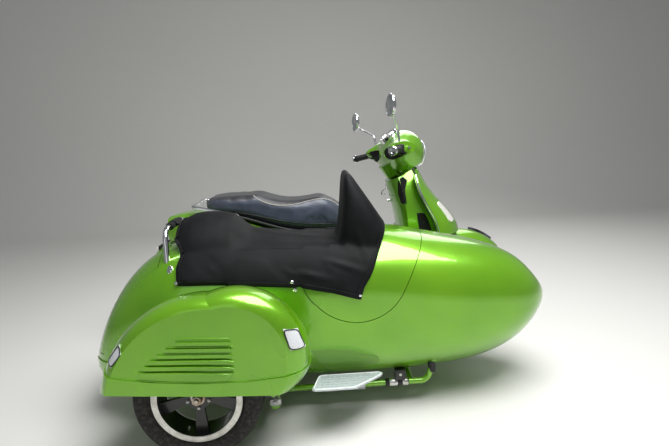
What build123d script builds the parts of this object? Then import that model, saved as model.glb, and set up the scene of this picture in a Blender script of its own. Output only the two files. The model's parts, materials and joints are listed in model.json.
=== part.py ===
"""Scooter with a bullet-nosed sidecar on its right, in millimetres.

The outfit faces +X with +Z up, and its origin is on the floor under the middle of its box. Scooter
stations are measured back from the front axle, sidecar stations ahead of the sidecar axle.
"""

from build123d import *
import math
import os

# Where the two vehicles stand
FRONT_AXLE_X = 771.0
WHEELBASE = 1370.0
SCOOTER_Y = 420.0
TRACK = 1100.0
SIDECAR_AXLE_BACK = 1280.0
SIDECAR_OFFSET = 650.0
REAR_AXLE_X = FRONT_AXLE_X - WHEELBASE
SIDECAR_X = FRONT_AXLE_X - SIDECAR_AXLE_BACK
SIDECAR_WHEEL_Y = SCOOTER_Y - TRACK
SIDECAR_Y = SCOOTER_Y - SIDECAR_OFFSET

# Gaps between pieces
MOVING_GAP = 6.0
PANEL_GAP = 3.0
SEAT_GAP = 0.3
RUNNING_FIT = 0.05

# Wheels
TYRE_RADIUS = 236.5
TYRE_WIDTH = 120.0
TREAD_WIDTH = 96.0
SHOULDER_DROP = 9.0
RIM_RADIUS = 152.5
RIM_WIDTH = 88.0
RIM_WALL = 10.0
FLANGE_HEIGHT = 12.0
FLANGE_WIDTH = 6.0
HUB_RADIUS = 46.0
HUB_WIDTH = 60.0
SPOKE_COUNT = 5
SPOKE_WIDTH = 50.0
SPOKE_DEPTH = 16.0
AXLE_RADIUS = 10.0
DISC_RADIUS = 110.0
DISC_THICKNESS = 4.0
AXLE_HEIGHT = TYRE_RADIUS

# Steering
RAKE = 26.5
TRAIL = 83.0
STEER_LEFT = 12.0
STEM_RADIUS = 20.0
RAKE_SLOPE = math.tan(math.radians(RAKE))
STEER_DIRECTION = (-math.sin(math.radians(RAKE)), 0, math.cos(math.radians(RAKE)))
STEER_AXIS = Axis((FRONT_AXLE_X + TRAIL, SCOOTER_Y, 0), STEER_DIRECTION)


def behind(back):
    """Length position of a scooter station, measured back from the front axle."""
    return FRONT_AXLE_X - back


def ahead(forward):
    """Length position of a sidecar station, measured ahead of the sidecar axle."""
    return SIDECAR_X + forward


def across(x, y=0.0, z=0.0):
    """Plane square to the length: local x to the left, local y up."""
    return Plane(origin=(x, y, z), x_dir=(0, 1, 0), z_dir=(1, 0, 0))


def side(y):
    """Plane seen from the right: local x forward, local y up, its normal towards the viewer."""
    return Plane(origin=(0, y, 0), x_dir=(1, 0, 0), z_dir=(0, -1, 0))


def level(z):
    """Horizontal plane at a height."""
    return Plane.XY.offset(z)


def steer_x(z):
    """Length position of the steering axis at a height."""
    return FRONT_AXLE_X + TRAIL - z * RAKE_SLOPE


def along_steering(z):
    """Plane square to the steering axis at a height: local x to the left, local y to the rear."""
    return Plane(origin=(steer_x(z), SCOOTER_Y, z), x_dir=(0, 1, 0), z_dir=STEER_DIRECTION)


def turned(piece):
    """The piece with the steering turned a little to the left, as the outfit is parked."""
    return piece.rotate(STEER_AXIS, STEER_LEFT)


def oval_loft(sections, centre_y, grow=0.0):
    """Lofted body through rows of x, half width, low, high and corner share, grown all round."""
    with BuildPart() as body:
        for x, half, low, high, share in sections:
            width = 2 * (half + grow)
            height = high - low + 2 * grow
            with BuildSketch(across(x, centre_y, (low + high) / 2)):
                RectangleRounded(width, height, share * min(width, height))
        loft()
    return body.part


def tube_along(points, bend, radius):
    """Round bar along straight runs with equal bends."""
    with BuildPart() as bar:
        with BuildLine() as path:
            if len(points) > 2:
                FilletPolyline(*points, radius=bend)
            else:
                Line(*points)
        with BuildSketch(Plane(origin=path.wire() @ 0, z_dir=path.wire() % 0)):
            Circle(radius)
        sweep(path=path.wire())
    return bar.part


def outline_prism(points, near_y, far_y):
    """Straight-sided block with an outline of x and z, between two side planes."""
    with BuildPart() as block:
        with BuildSketch(side(near_y)):
            Polygon(*points, align=None)
        extrude(amount=near_y - far_y)
    return block.part


# Wheels: a tyre and a spoked rim each
BEAD_HALF = RIM_WIDTH / 2
BEAD_FOOT = RIM_RADIUS + SEAT_GAP
BEAD_TOP = RIM_RADIUS + FLANGE_HEIGHT + 1.5
BULGE_RADIUS = (RIM_RADIUS + TYRE_RADIUS) / 2
SHOULDER_RADIUS = TYRE_RADIUS - SHOULDER_DROP
SPOKE_INSET = 12.0
SPOKE_TAPER = 84.0


def make_tyre(x, y):
    """Solid tyre ring with round shoulders."""
    with BuildPart() as tyre:
        with BuildSketch(across(x, y, AXLE_HEIGHT)):
            with BuildLine():
                Polyline((-BEAD_HALF, BEAD_TOP), (-BEAD_HALF, BEAD_FOOT), (BEAD_HALF, BEAD_FOOT), (BEAD_HALF, BEAD_TOP))
                for hand in (1, -1):
                    shoulder = (hand * TREAD_WIDTH / 2, SHOULDER_RADIUS)
                    ThreePointArc((hand * BEAD_HALF, BEAD_TOP), (hand * TYRE_WIDTH / 2, BULGE_RADIUS), shoulder)
                ThreePointArc((TREAD_WIDTH / 2, SHOULDER_RADIUS), (0, TYRE_RADIUS), (-TREAD_WIDTH / 2, SHOULDER_RADIUS))
            make_face()
        revolve(axis=Axis((x, y, AXLE_HEIGHT), (0, 1, 0)))
    return tyre.part


def make_rim(x, y):
    """Rim with its spokes near the right-hand edge and a bored hub."""
    edge = BEAD_HALF + SEAT_GAP
    rim_foot = RIM_RADIUS - RIM_WALL
    spoke_length = rim_foot - HUB_RADIUS + 10
    hub_plane = side(y + HUB_WIDTH / 2)
    with BuildPart() as rim:
        with BuildSketch(across(x, y, AXLE_HEIGHT)):
            with BuildLine():
                Polyline(
                    (-edge - FLANGE_WIDTH, rim_foot),
                    (-edge - FLANGE_WIDTH, RIM_RADIUS + FLANGE_HEIGHT),
                    (-edge, RIM_RADIUS + FLANGE_HEIGHT),
                    (-edge, RIM_RADIUS),
                    (edge, RIM_RADIUS),
                    (edge, RIM_RADIUS + FLANGE_HEIGHT),
                    (edge + FLANGE_WIDTH, RIM_RADIUS + FLANGE_HEIGHT),
                    (edge + FLANGE_WIDTH, rim_foot),
                    close=True,
                )
            make_face()
        revolve(axis=Axis((x, y, AXLE_HEIGHT), (0, 1, 0)))
        with BuildSketch(hub_plane):
            with Locations((x, AXLE_HEIGHT)):
                Circle(HUB_RADIUS)
        extrude(amount=HUB_WIDTH)
        with BuildSketch(side(y - HUB_WIDTH / 2 + SPOKE_INSET + SPOKE_DEPTH)):
            with Locations((x, AXLE_HEIGHT)):
                with PolarLocations((HUB_RADIUS + rim_foot) / 2, SPOKE_COUNT, start_angle=-90):
                    Trapezoid(SPOKE_WIDTH, spoke_length, SPOKE_TAPER, SPOKE_TAPER, rotation=90)
        extrude(amount=SPOKE_DEPTH)
        with BuildSketch(hub_plane):
            with Locations((x, AXLE_HEIGHT)):
                Circle(AXLE_RADIUS + RUNNING_FIT)
        extrude(amount=HUB_WIDTH, mode=Mode.SUBTRACT)
    return rim.part


# Places of the wheels: name, x, y, whether the steering turns it
WHEELS = [
    ("front", FRONT_AXLE_X, SCOOTER_Y, True),
    ("rear", REAR_AXLE_X, SCOOTER_Y, False),
    ("sidecar", SIDECAR_X, SIDECAR_WHEEL_Y, False),
]
finished = {}
for wheel_name, wheel_x, wheel_y, steers in WHEELS:
    for kind, make in (("tyre", make_tyre), ("rim", make_rim)):
        piece = make(wheel_x, wheel_y)
        finished[f"{wheel_name}_{kind}"] = turned(piece) if steers else piece

DISC_BORE = 18.0
DISC_HOLES = 10
DISC_HOLE_RADIUS = 9.0
with BuildPart() as front_brake_disc:
    with BuildSketch(side(SCOOTER_Y + HUB_WIDTH / 2 + SEAT_GAP + DISC_THICKNESS)):
        with Locations((FRONT_AXLE_X, AXLE_HEIGHT)):
            Circle(DISC_RADIUS)
            Circle(DISC_BORE, mode=Mode.SUBTRACT)
            with PolarLocations((DISC_BORE + DISC_RADIUS) / 2, DISC_HOLES):
                Circle(DISC_HOLE_RADIUS, mode=Mode.SUBTRACT)
    extrude(amount=DISC_THICKNESS)
finished["front_brake_disc"] = turned(front_brake_disc.part)

# Leg shield: crescent sections by height, open below for the turning mudguard
SHIELD_WALL = 20.0
SHIELD_SECTIONS = [
    # height, half width, centre back, edge back
    (298.0, 190.0, 314.0, 322.0),
    (450.0, 214.0, 130.0, 250.0),
    (600.0, 226.0, 8.0, 156.0),
    (740.0, 222.0, 96.0, 210.0),
    (860.0, 196.0, 190.0, 258.0),
    (985.0, 112.0, 268.0, 306.0),
]
FLOOR_LOW = 296.0
FLOOR_FRONT_BACK = SHIELD_SECTIONS[0][3] + SHIELD_WALL + PANEL_GAP
WELL_RADIUS = 216.0
WELL_TOP = 588.0
WELL_REAR_BACK = 300.0
COLLAR_HEIGHT = 902.0
RIM_SWEEP = 124.0
RIM_DROP = 24.0
RIM_BEVEL = 40.0


def shield_loft(shift, wall, width_cut=0.0):
    """Crescent body that follows the leg shield, its front moved back by shift."""
    with BuildPart() as crescent:
        for height, half, centre, edge in SHIELD_SECTIONS:
            front_edge = behind(edge + shift)
            front_centre = behind(centre + shift)
            right = SCOOTER_Y - half + width_cut
            left = SCOOTER_Y + half - width_cut
            with BuildSketch(level(height)):
                with BuildLine():
                    ThreePointArc((front_edge, right), (front_centre, SCOOTER_Y), (front_edge, left))
                    Line((front_edge, left), (front_edge - wall, left))
                    ThreePointArc(
                        (front_edge - wall, left), (front_centre - wall, SCOOTER_Y), (front_edge - wall, right)
                    )
                    Line((front_edge - wall, right), (front_edge, right))
                make_face()
        loft()
    return crescent.part


with BuildPart() as wheel_well:
    with BuildSketch(along_steering(WELL_TOP - 330)):
        Circle(WELL_RADIUS)
    extrude(amount=420)
    with Locations((behind(WELL_REAR_BACK) + 400, SCOOTER_Y, WELL_TOP - 400)):
        Box(800, 800, 800, mode=Mode.INTERSECT)
with BuildPart() as above_collar:
    with BuildSketch(along_steering(COLLAR_HEIGHT)):
        Rectangle(700, 700)
    extrude(amount=300)
with BuildPart() as lamp_path:
    with BuildSketch(along_steering(COLLAR_HEIGHT)):
        Circle(2 * RIM_SWEEP)
    extrude(amount=-RIM_DROP)
    with BuildSketch(along_steering(COLLAR_HEIGHT)):
        Circle(RIM_SWEEP)
    extrude(amount=-RIM_DROP, taper=-RIM_BEVEL, mode=Mode.SUBTRACT)
with BuildPart() as leg_shield:
    add(shield_loft(0, SHIELD_WALL))
    add(wheel_well.part, mode=Mode.SUBTRACT)
    add(above_collar.part, mode=Mode.SUBTRACT)
    add(lamp_path.part, mode=Mode.SUBTRACT)
    with Locations((behind(FLOOR_FRONT_BACK - PANEL_GAP + 50), SCOOTER_Y, FLOOR_LOW)):
        Box(100, 600, 90, mode=Mode.SUBTRACT)
finished["leg_shield"] = leg_shield.part

# Front turn lamps on the shield's shoulders
LAMP_LOW = 648.0
LAMP_HIGH = 766.0
LAMP_INNER = 118.0
LAMP_OUTER = 172.0
LAMP_PROUD = 7.0
with BuildPart() as turn_lamps:
    for hand in (1, -1):
        with BuildSketch(across(FRONT_AXLE_X - 400, SCOOTER_Y)):
            with BuildLine():
                Polyline(
                    (hand * LAMP_INNER, LAMP_LOW + 14),
                    (hand * LAMP_OUTER, LAMP_LOW),
                    (hand * (LAMP_OUTER - 14), LAMP_HIGH - 10),
                    (hand * (LAMP_INNER - 6), LAMP_HIGH),
                    close=True,
                )
            make_face()
            fillet(vertices(), 12)
        extrude(amount=600)
    add(shield_loft(-LAMP_PROUD, LAMP_PROUD - SEAT_GAP), mode=Mode.INTERSECT)
finished["front_turn_lamps"] = turn_lamps.part

# Surface hinges of the small lids
BARREL_RADIUS = 5.0
BARREL_HALF = 50.0
BARREL_GAP = 0.4
PIN_RADIUS = 2.5
LEAF_WIDTH = 12.0

# Inner shield that fills in behind the leg shield round the steering column, with a glovebox
INNER_SECTIONS = [
    # height, half width, edge back, centre back
    (298.0, 146.0, 402.0, 410.0),
    (450.0, 166.0, 346.0, 372.0),
    (600.0, 172.0, 322.0, 362.0),
    (740.0, 166.0, 330.0, 382.0),
    (860.0, 138.0, 350.0, 412.0),
    (985.0, 68.0, 392.0, 436.0),
]
GLOVEBOX_HALF = 96.0
GLOVEBOX_LOW = 600.0
GLOVEBOX_HIGH = 800.0
DOOR_THICKNESS = 14.0
DOOR_HINGE_BACK = 366.0
DOOR_HINGE_RISE = 5.0
INNER_WALL = 26.0
SHIELD_CLEARANCE = 16.0
INNER_FOOT = 322.5


def shield_back(height, offset):
    """Distance back of the leg shield's rear face at a height, to one side of the middle."""
    for (low, half_low, centre_low, edge_low), (high, half_high, centre_high, edge_high) in zip(
        SHIELD_SECTIONS, SHIELD_SECTIONS[1:]
    ):
        if low <= height <= high:
            share = (height - low) / (high - low)
            half = half_low + share * (half_high - half_low)
            centre = centre_low + share * (centre_high - centre_low)
            sagitta = edge_low + share * (edge_high - edge_low) - centre
    radius = (half**2 + sagitta**2) / (2 * sagitta)
    return centre + radius - math.sqrt(radius**2 - offset**2) + SHIELD_WALL


def hinge_barrel(x, y, z, leaf):
    """Barrel of a surface hinge across the outfit with its leaf, bored for its pin."""
    with BuildPart() as barrel:
        with BuildSketch(side(y + BARREL_HALF)):
            with Locations((x, z)):
                Circle(BARREL_RADIUS)
            Polygon(*leaf, align=None)
            with Locations((x, z)):
                Circle(PIN_RADIUS + RUNNING_FIT, mode=Mode.SUBTRACT)
        extrude(amount=2 * BARREL_HALF)
    return barrel.part


def hinge_leaves(x, y, z, leaf):
    """Pin of a surface hinge with an end knuckle and a leaf on each side; the leaf is an outline."""
    end = BARREL_HALF + BARREL_GAP
    with BuildPart() as leaves:
        with BuildSketch(side(y + end)):
            with Locations((x, z)):
                Circle(PIN_RADIUS)
        extrude(amount=2 * end)
        for start in (y + end + LEAF_WIDTH, y - end):
            with BuildSketch(side(start)):
                with Locations((x, z)):
                    Circle(BARREL_RADIUS)
                Polygon(*leaf, align=None)
            extrude(amount=LEAF_WIDTH)
    return leaves.part


def inner_loft(pull=0.0, depth=INNER_WALL, to_shield=True):
    """Wall behind the leg shield with its rear face pulled forward, its sides running to the shield."""
    with BuildPart() as body:
        for height, half, edge, centre in INNER_SECTIONS:
            tip = half - INNER_WALL
            reach = SHIELD_CLEARANCE
            front_outer = behind(shield_back(height, half) + reach) if to_shield else behind(edge - pull - depth)
            front_inner = behind(shield_back(height, tip) + reach) if to_shield else front_outer
            rear_x = behind(edge - pull)
            wall_x = behind(edge - pull - depth)
            with BuildSketch(level(height)):
                with BuildLine():
                    ThreePointArc(
                        (rear_x, SCOOTER_Y - half), (behind(centre - pull), SCOOTER_Y), (rear_x, SCOOTER_Y + half)
                    )
                    if to_shield:
                        Polyline(
                            (rear_x, SCOOTER_Y + half),
                            (front_outer, SCOOTER_Y + half),
                            (front_inner, SCOOTER_Y + tip),
                            (wall_x, SCOOTER_Y + tip),
                        )
                        ThreePointArc(
                            (wall_x, SCOOTER_Y + tip),
                            (behind(centre - pull - depth), SCOOTER_Y),
                            (wall_x, SCOOTER_Y - tip),
                        )
                        Polyline(
                            (wall_x, SCOOTER_Y - tip),
                            (front_inner, SCOOTER_Y - tip),
                            (front_outer, SCOOTER_Y - half),
                            (rear_x, SCOOTER_Y - half),
                        )
                    else:
                        Line((rear_x, SCOOTER_Y + half), (wall_x, SCOOTER_Y + half))
                        ThreePointArc(
                            (wall_x, SCOOTER_Y + half),
                            (behind(centre - pull - depth), SCOOTER_Y),
                            (wall_x, SCOOTER_Y - half),
                        )
                        Line((wall_x, SCOOTER_Y - half), (rear_x, SCOOTER_Y - half))
                make_face()
        loft()
    return body.part


with BuildPart() as glovebox_door:
    add(inner_loft(0, DOOR_THICKNESS, False))
    with Locations((behind(400), SCOOTER_Y, (GLOVEBOX_LOW + GLOVEBOX_HIGH) / 2)):
        Box(300, 2 * GLOVEBOX_HALF, GLOVEBOX_HIGH - GLOVEBOX_LOW, mode=Mode.INTERSECT)
    add(
        hinge_barrel(
            behind(DOOR_HINGE_BACK),
            SCOOTER_Y,
            GLOVEBOX_LOW + DOOR_HINGE_RISE,
            [
                (behind(DOOR_HINGE_BACK + BARREL_RADIUS), GLOVEBOX_LOW + DOOR_HINGE_RISE),
                (behind(DOOR_HINGE_BACK + 1), GLOVEBOX_LOW + 26),
                (behind(DOOR_HINGE_BACK - DOOR_THICKNESS), GLOVEBOX_LOW + 26),
                (behind(DOOR_HINGE_BACK - DOOR_THICKNESS), GLOVEBOX_LOW + DOOR_HINGE_RISE),
            ],
        )
    )
finished["glovebox_door"] = glovebox_door.part

with BuildPart() as door_recess:
    add(inner_loft(-30, 30 + DOOR_THICKNESS + PANEL_GAP, False))
    with Locations((behind(400), SCOOTER_Y, (GLOVEBOX_LOW + GLOVEBOX_HIGH) / 2)):
        Box(
            300,
            2 * (GLOVEBOX_HALF + PANEL_GAP),
            GLOVEBOX_HIGH - GLOVEBOX_LOW + 2 * PANEL_GAP,
            mode=Mode.INTERSECT,
        )
with BuildPart() as inner_shield:
    add(inner_loft())
    with Locations((behind(FLOOR_FRONT_BACK), SCOOTER_Y, INNER_FOOT - 50)):
        Box(400, 600, 100, mode=Mode.SUBTRACT)
    add(wheel_well.part, mode=Mode.SUBTRACT)
    add(above_collar.part, mode=Mode.SUBTRACT)
    add(door_recess.part, mode=Mode.SUBTRACT)
    add(
        hinge_leaves(
            behind(DOOR_HINGE_BACK),
            SCOOTER_Y,
            GLOVEBOX_LOW + DOOR_HINGE_RISE,
            [
                (behind(DOOR_HINGE_BACK - BARREL_RADIUS), GLOVEBOX_LOW + DOOR_HINGE_RISE),
                (behind(DOOR_HINGE_BACK + BARREL_RADIUS), GLOVEBOX_LOW + DOOR_HINGE_RISE),
                (behind(DOOR_HINGE_BACK + BARREL_RADIUS), GLOVEBOX_LOW - 22),
                (behind(DOOR_HINGE_BACK - 18), GLOVEBOX_LOW - 22),
                (behind(DOOR_HINGE_BACK - 18), GLOVEBOX_LOW - PANEL_GAP - 3),
                (behind(DOOR_HINGE_BACK - BARREL_RADIUS), GLOVEBOX_LOW - PANEL_GAP - 3),
            ],
        )
    )
finished["inner_shield"] = inner_shield.part

# Scooter floor with its tunnel, on two rails
FLOOR_THICK = 26.0
FLOOR_REAR_BACK = 655.0
FLOOR_HALF = 200.0
FLOOR_CORNER = 34.0
TUNNEL_HALF = 62.0
TUNNEL_RISE = 46.0
TUNNEL_FRONT_BACK = 426.0
FLOOR_LENGTH = FLOOR_REAR_BACK - FLOOR_FRONT_BACK
with BuildPart() as floor_pan:
    with BuildSketch(level(FLOOR_LOW)):
        with Locations((behind((FLOOR_FRONT_BACK + FLOOR_REAR_BACK) / 2), SCOOTER_Y)):
            RectangleRounded(FLOOR_LENGTH, 2 * FLOOR_HALF, FLOOR_CORNER)
    extrude(amount=FLOOR_THICK)
    with BuildSketch(across(behind(FLOOR_REAR_BACK), SCOOTER_Y, FLOOR_LOW)):
        with Locations((0, (FLOOR_THICK + TUNNEL_RISE) / 2)):
            RectangleRounded(2 * TUNNEL_HALF, FLOOR_THICK + TUNNEL_RISE, 20)
    extrude(amount=FLOOR_REAR_BACK - TUNNEL_FRONT_BACK)
finished["floor_pan"] = floor_pan.part

RAIL_TUBE = 13.0
RAIL_SPREAD = 95.0
CLAMP_RADIUS = 22.0
RAIL_HEIGHT = FLOOR_LOW - CLAMP_RADIUS - 1
RAIL_PADS = (410.0, 620.0)
RAIL_FRONT_BACK = 380.0
ENGINE_FRONT_BACK = 900.0
RAIL_REAR_BACK = ENGINE_FRONT_BACK - SEAT_GAP - RAIL_TUBE
rail_front = behind(RAIL_FRONT_BACK)
rail_rear = behind(RAIL_REAR_BACK)
with BuildPart() as scooter_frame:
    add(
        tube_along(
            [
                ((rail_front + rail_rear) / 2, SCOOTER_Y + RAIL_SPREAD, RAIL_HEIGHT),
                (rail_front, SCOOTER_Y + RAIL_SPREAD, RAIL_HEIGHT),
                (rail_front, SCOOTER_Y - RAIL_SPREAD, RAIL_HEIGHT),
                (rail_rear, SCOOTER_Y - RAIL_SPREAD, RAIL_HEIGHT),
                (rail_rear, SCOOTER_Y + RAIL_SPREAD, RAIL_HEIGHT),
                ((rail_front + rail_rear) / 2 - 1, SCOOTER_Y + RAIL_SPREAD, RAIL_HEIGHT),
            ],
            40,
            RAIL_TUBE,
        )
    )
    for back in RAIL_PADS:
        for hand in (1, -1):
            pad_top = FLOOR_LOW - SEAT_GAP
            with Locations((behind(back), SCOOTER_Y + hand * RAIL_SPREAD, (RAIL_HEIGHT + pad_top) / 2)):
                Box(40, 18, pad_top - RAIL_HEIGHT)
finished["scooter_frame"] = scooter_frame.part

# Rear body and side cowls, from one loft split by two upright seams
BODY_SECTIONS = [
    # back, half width, low, high, corner share
    (662.0, 120.0, 330.0, 590.0, 0.20),
    (780.0, 168.0, 326.0, 600.0, 0.25),
    (914.0, 198.0, 330.0, 612.0, 0.32),
    (1179.0, 216.0, 352.0, 698.0, 0.36),
    (1389.0, 200.0, 420.0, 757.0, 0.38),
    (1540.0, 150.0, 510.0, 762.0, 0.40),
    (1640.0, 92.0, 590.0, 742.0, 0.42),
]
COWL_SEAM = 150.0
WHEEL_ARCH_RADIUS = 290.0
ARCH_HALF = 126.0
BAY_FRONT_BACK = 790.0
BAY_STEP_BACK = 1120.0
BAY_REAR_BACK = 1330.0
BAY_HALF = 104.0
BAY_FLOOR = 470.0
BAY_SHELF = 604.0
HINGE_BACK = 618.0
HINGE_HEIGHT = 614.0
HINGE_RADIUS = 8.0
HINGE_ARM_HALF = 18.0
KNUCKLE_RADIUS = 13.0
KNUCKLE_WIDTH = 20.0


def scooter_body(grow=0.0):
    """Outer form of the scooter's rear body with both cowls."""
    return oval_loft([(behind(back), half, low, high, share) for back, half, low, high, share in BODY_SECTIONS], SCOOTER_Y, grow)


with BuildPart() as rear_body:
    add(scooter_body())
    with Locations((REAR_AXLE_X, SCOOTER_Y, 550)):
        Box(3000, 2 * (COWL_SEAM - PANEL_GAP), 900, mode=Mode.INTERSECT)
    with BuildSketch(side(SCOOTER_Y + ARCH_HALF)):
        with Locations((REAR_AXLE_X, AXLE_HEIGHT)):
            Circle(WHEEL_ARCH_RADIUS)
        with Locations((behind(1040), 320)):
            Rectangle(360, 200)
    extrude(amount=2 * ARCH_HALF, mode=Mode.SUBTRACT)
    with BuildSketch(level(BAY_FLOOR)):
        with Locations((behind((BAY_FRONT_BACK + BAY_STEP_BACK) / 2), SCOOTER_Y)):
            RectangleRounded(BAY_STEP_BACK - BAY_FRONT_BACK, 2 * BAY_HALF, 30)
    extrude(amount=400, mode=Mode.SUBTRACT)
    with BuildSketch(level(BAY_SHELF)):
        with Locations((behind((BAY_STEP_BACK + BAY_REAR_BACK) / 2 - 20), SCOOTER_Y)):
            RectangleRounded(BAY_REAR_BACK - BAY_STEP_BACK + 40, 2 * BAY_HALF, 18)
    extrude(amount=400, mode=Mode.SUBTRACT)
    with Locations((behind(HINGE_BACK + 26), SCOOTER_Y, HINGE_HEIGHT - 45)):
        Box(52, 2 * HINGE_ARM_HALF, 50)
    with BuildSketch(side(SCOOTER_Y + HINGE_ARM_HALF)):
        with Locations((behind(HINGE_BACK), HINGE_HEIGHT)):
            Circle(KNUCKLE_RADIUS)
        with Locations((behind(HINGE_BACK), HINGE_HEIGHT - 15)):
            Rectangle(2 * KNUCKLE_RADIUS, 30)
    extrude(amount=2 * HINGE_ARM_HALF)
    with BuildSketch(side(SCOOTER_Y + HINGE_ARM_HALF + KNUCKLE_WIDTH + 4)):
        with Locations((behind(HINGE_BACK), HINGE_HEIGHT)):
            Circle(HINGE_RADIUS)
    extrude(amount=2 * (HINGE_ARM_HALF + KNUCKLE_WIDTH + 4))
finished["rear_body"] = rear_body.part
for cowl_name, hand in (("right_cowl", -1), ("left_cowl", 1)):
    with BuildPart() as cowl:
        add(scooter_body())
        with Locations((REAR_AXLE_X, SCOOTER_Y + hand * (COWL_SEAM + 200), 550)):
            Box(3000, 400, 900, mode=Mode.INTERSECT)
    finished[cowl_name] = cowl.part

# Saddle: a pan with hinge knuckles, and the cushion on it
SADDLE_SECTIONS = [
    # back, half width, low, high, corner share
    (606.0, 62.0, 640.0, 700.0, 0.40),
    (680.0, 104.0, 612.0, 754.0, 0.34),
    (790.0, 136.0, 614.0, 798.0, 0.30),
    (947.0, 152.0, 638.0, 794.0, 0.30),
    (1120.0, 152.0, 690.0, 814.0, 0.34),
    (1350.0, 142.0, 752.0, 822.0, 0.40),
    (1424.0, 104.0, 766.0, 808.0, 0.42),
]
PAN_THICKNESS = 14.0
PAN_INSET = 14.0
CUSHION_GAP = 6.0
with BuildPart() as saddle_pan:
    add(
        oval_loft(
            [
                (behind(back), half - PAN_INSET, low, low + PAN_THICKNESS, 0.4)
                for back, half, low, high, share in SADDLE_SECTIONS
            ],
            SCOOTER_Y,
        )
    )
    for hand in (1, -1):
        start = SCOOTER_Y + hand * (HINGE_ARM_HALF + 2 + KNUCKLE_WIDTH / 2) + KNUCKLE_WIDTH / 2
        with BuildSketch(side(start)):
            with Locations((behind(HINGE_BACK), HINGE_HEIGHT)):
                Circle(KNUCKLE_RADIUS)
            with Locations((behind(HINGE_BACK), HINGE_HEIGHT + 17)):
                Rectangle(18, 30)
            with Locations((behind(HINGE_BACK), HINGE_HEIGHT)):
                Circle(HINGE_RADIUS + RUNNING_FIT, mode=Mode.SUBTRACT)
        extrude(amount=KNUCKLE_WIDTH)
finished["saddle_pan"] = saddle_pan.part
finished["saddle_cushion"] = oval_loft(
    [
        (behind(back), half, low + PAN_THICKNESS + CUSHION_GAP, high, share)
        for back, half, low, high, share in SADDLE_SECTIONS
    ],
    SCOOTER_Y,
)

# Tail: lamp, mudguard with a blank plate, and the grab rail
LAMP_HALF = 46.0
TAIL_BACK = BODY_SECTIONS[-1][0]
with BuildPart() as tail_lamp:
    with BuildSketch(across(behind(TAIL_BACK) - SEAT_GAP, SCOOTER_Y, 668)):
        RectangleRounded(2 * LAMP_HALF, 86, 30)
    extrude(amount=-22, taper=18)
finished["tail_lamp"] = tail_lamp.part

GUARD_HALF = 70.0
PLATE_BACK = 1708.0
PLATE_SIZE = 177.0
PLATE_MID = 492.0
PLATE_THICK = 4.0
PLATE_HOLE = 3.2
PLATE_SPACING = 120.0
with BuildPart() as rear_guard:
    add(
        outline_prism(
            [
                (behind(1540), 545),
                (behind(1630), 610),
                (behind(PLATE_BACK) + SEAT_GAP, 585),
                (behind(PLATE_BACK) + SEAT_GAP, 400),
                (behind(PLATE_BACK - 10), 388),
                (behind(1672), 400),
                (behind(1664), 480),
                (behind(1560), 490),
            ],
            SCOOTER_Y + GUARD_HALF,
            SCOOTER_Y - GUARD_HALF,
        )
    )
    add(scooter_body(SEAT_GAP), mode=Mode.SUBTRACT)
    with BuildSketch(across(behind(PLATE_BACK), SCOOTER_Y, PLATE_MID)):
        with GridLocations(PLATE_SPACING, 1, 2, 1):
            Circle(PLATE_HOLE)
    extrude(amount=30, mode=Mode.SUBTRACT)
finished["rear_guard"] = rear_guard.part
with BuildPart() as number_plate:
    with BuildSketch(across(behind(PLATE_BACK), SCOOTER_Y, PLATE_MID)):
        RectangleRounded(PLATE_SIZE, PLATE_SIZE, 8)
        with GridLocations(PLATE_SPACING, 1, 2, 1):
            Circle(PLATE_HOLE, mode=Mode.SUBTRACT)
    extrude(amount=-PLATE_THICK)
finished["number_plate"] = number_plate.part

RAIL_RADIUS = 9.0
RAIL_ROUTE = [
    # back, half width, height
    (1200.0, 190.0, 600.0),
    (1230.0, 192.0, 752.0),
    (1480.0, 158.0, 806.0),
]
rail_right = [(behind(back), SCOOTER_Y - half, height) for back, half, height in RAIL_ROUTE]
rail_left = [(behind(back), SCOOTER_Y + half, height) for back, half, height in reversed(RAIL_ROUTE)]
with BuildPart() as grab_rail:
    add(tube_along(rail_right + rail_left, 34, RAIL_RADIUS))
    add(scooter_body(SEAT_GAP), mode=Mode.SUBTRACT)
finished["grab_rail"] = grab_rail.part

# Engine block, transmission case, right-hand arm and rear axle
BLOCK_HALF = 108.0
CASE_INNER = 70.0
CASE_WIDTH = 50.0
ARM_INNER = 70.0
ARM_WIDTH = 20.0
ENGINE_OUTLINE = [
    # back, height
    (ENGINE_FRONT_BACK, 250.0),
    (ENGINE_FRONT_BACK, 388.0),
    (1060.0, 404.0),
    (1090.0, 330.0),
    (1090.0, 200.0),
    (930.0, 190.0),
]
CASE_OUTLINE = [
    (1020.0, 190.0),
    (1020.0, 318.0),
    (1120.0, 318.0),
    (1400.0, 306.0),
    (1452.0, 262.0),
    (1420.0, 196.0),
    (1120.0, 166.0),
]
with BuildPart() as engine_unit:
    add(
        outline_prism(
            [(behind(back), height) for back, height in ENGINE_OUTLINE], SCOOTER_Y + BLOCK_HALF, SCOOTER_Y - BLOCK_HALF
        )
    )
    add(
        outline_prism(
            [(behind(back), height) for back, height in CASE_OUTLINE],
            SCOOTER_Y + CASE_INNER + CASE_WIDTH,
            SCOOTER_Y + CASE_INNER,
        )
    )
    with BuildSketch(side(SCOOTER_Y - ARM_INNER)):
        with Locations((behind(1215), 236)):
            SlotOverall(360, 52)
    extrude(amount=ARM_WIDTH)
    with BuildSketch(side(SCOOTER_Y + CASE_INNER + 4)):
        with Locations((REAR_AXLE_X, AXLE_HEIGHT)):
            Circle(AXLE_RADIUS)
    extrude(amount=CASE_INNER + ARM_INNER + 8)
finished["engine_unit"] = engine_unit.part

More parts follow.
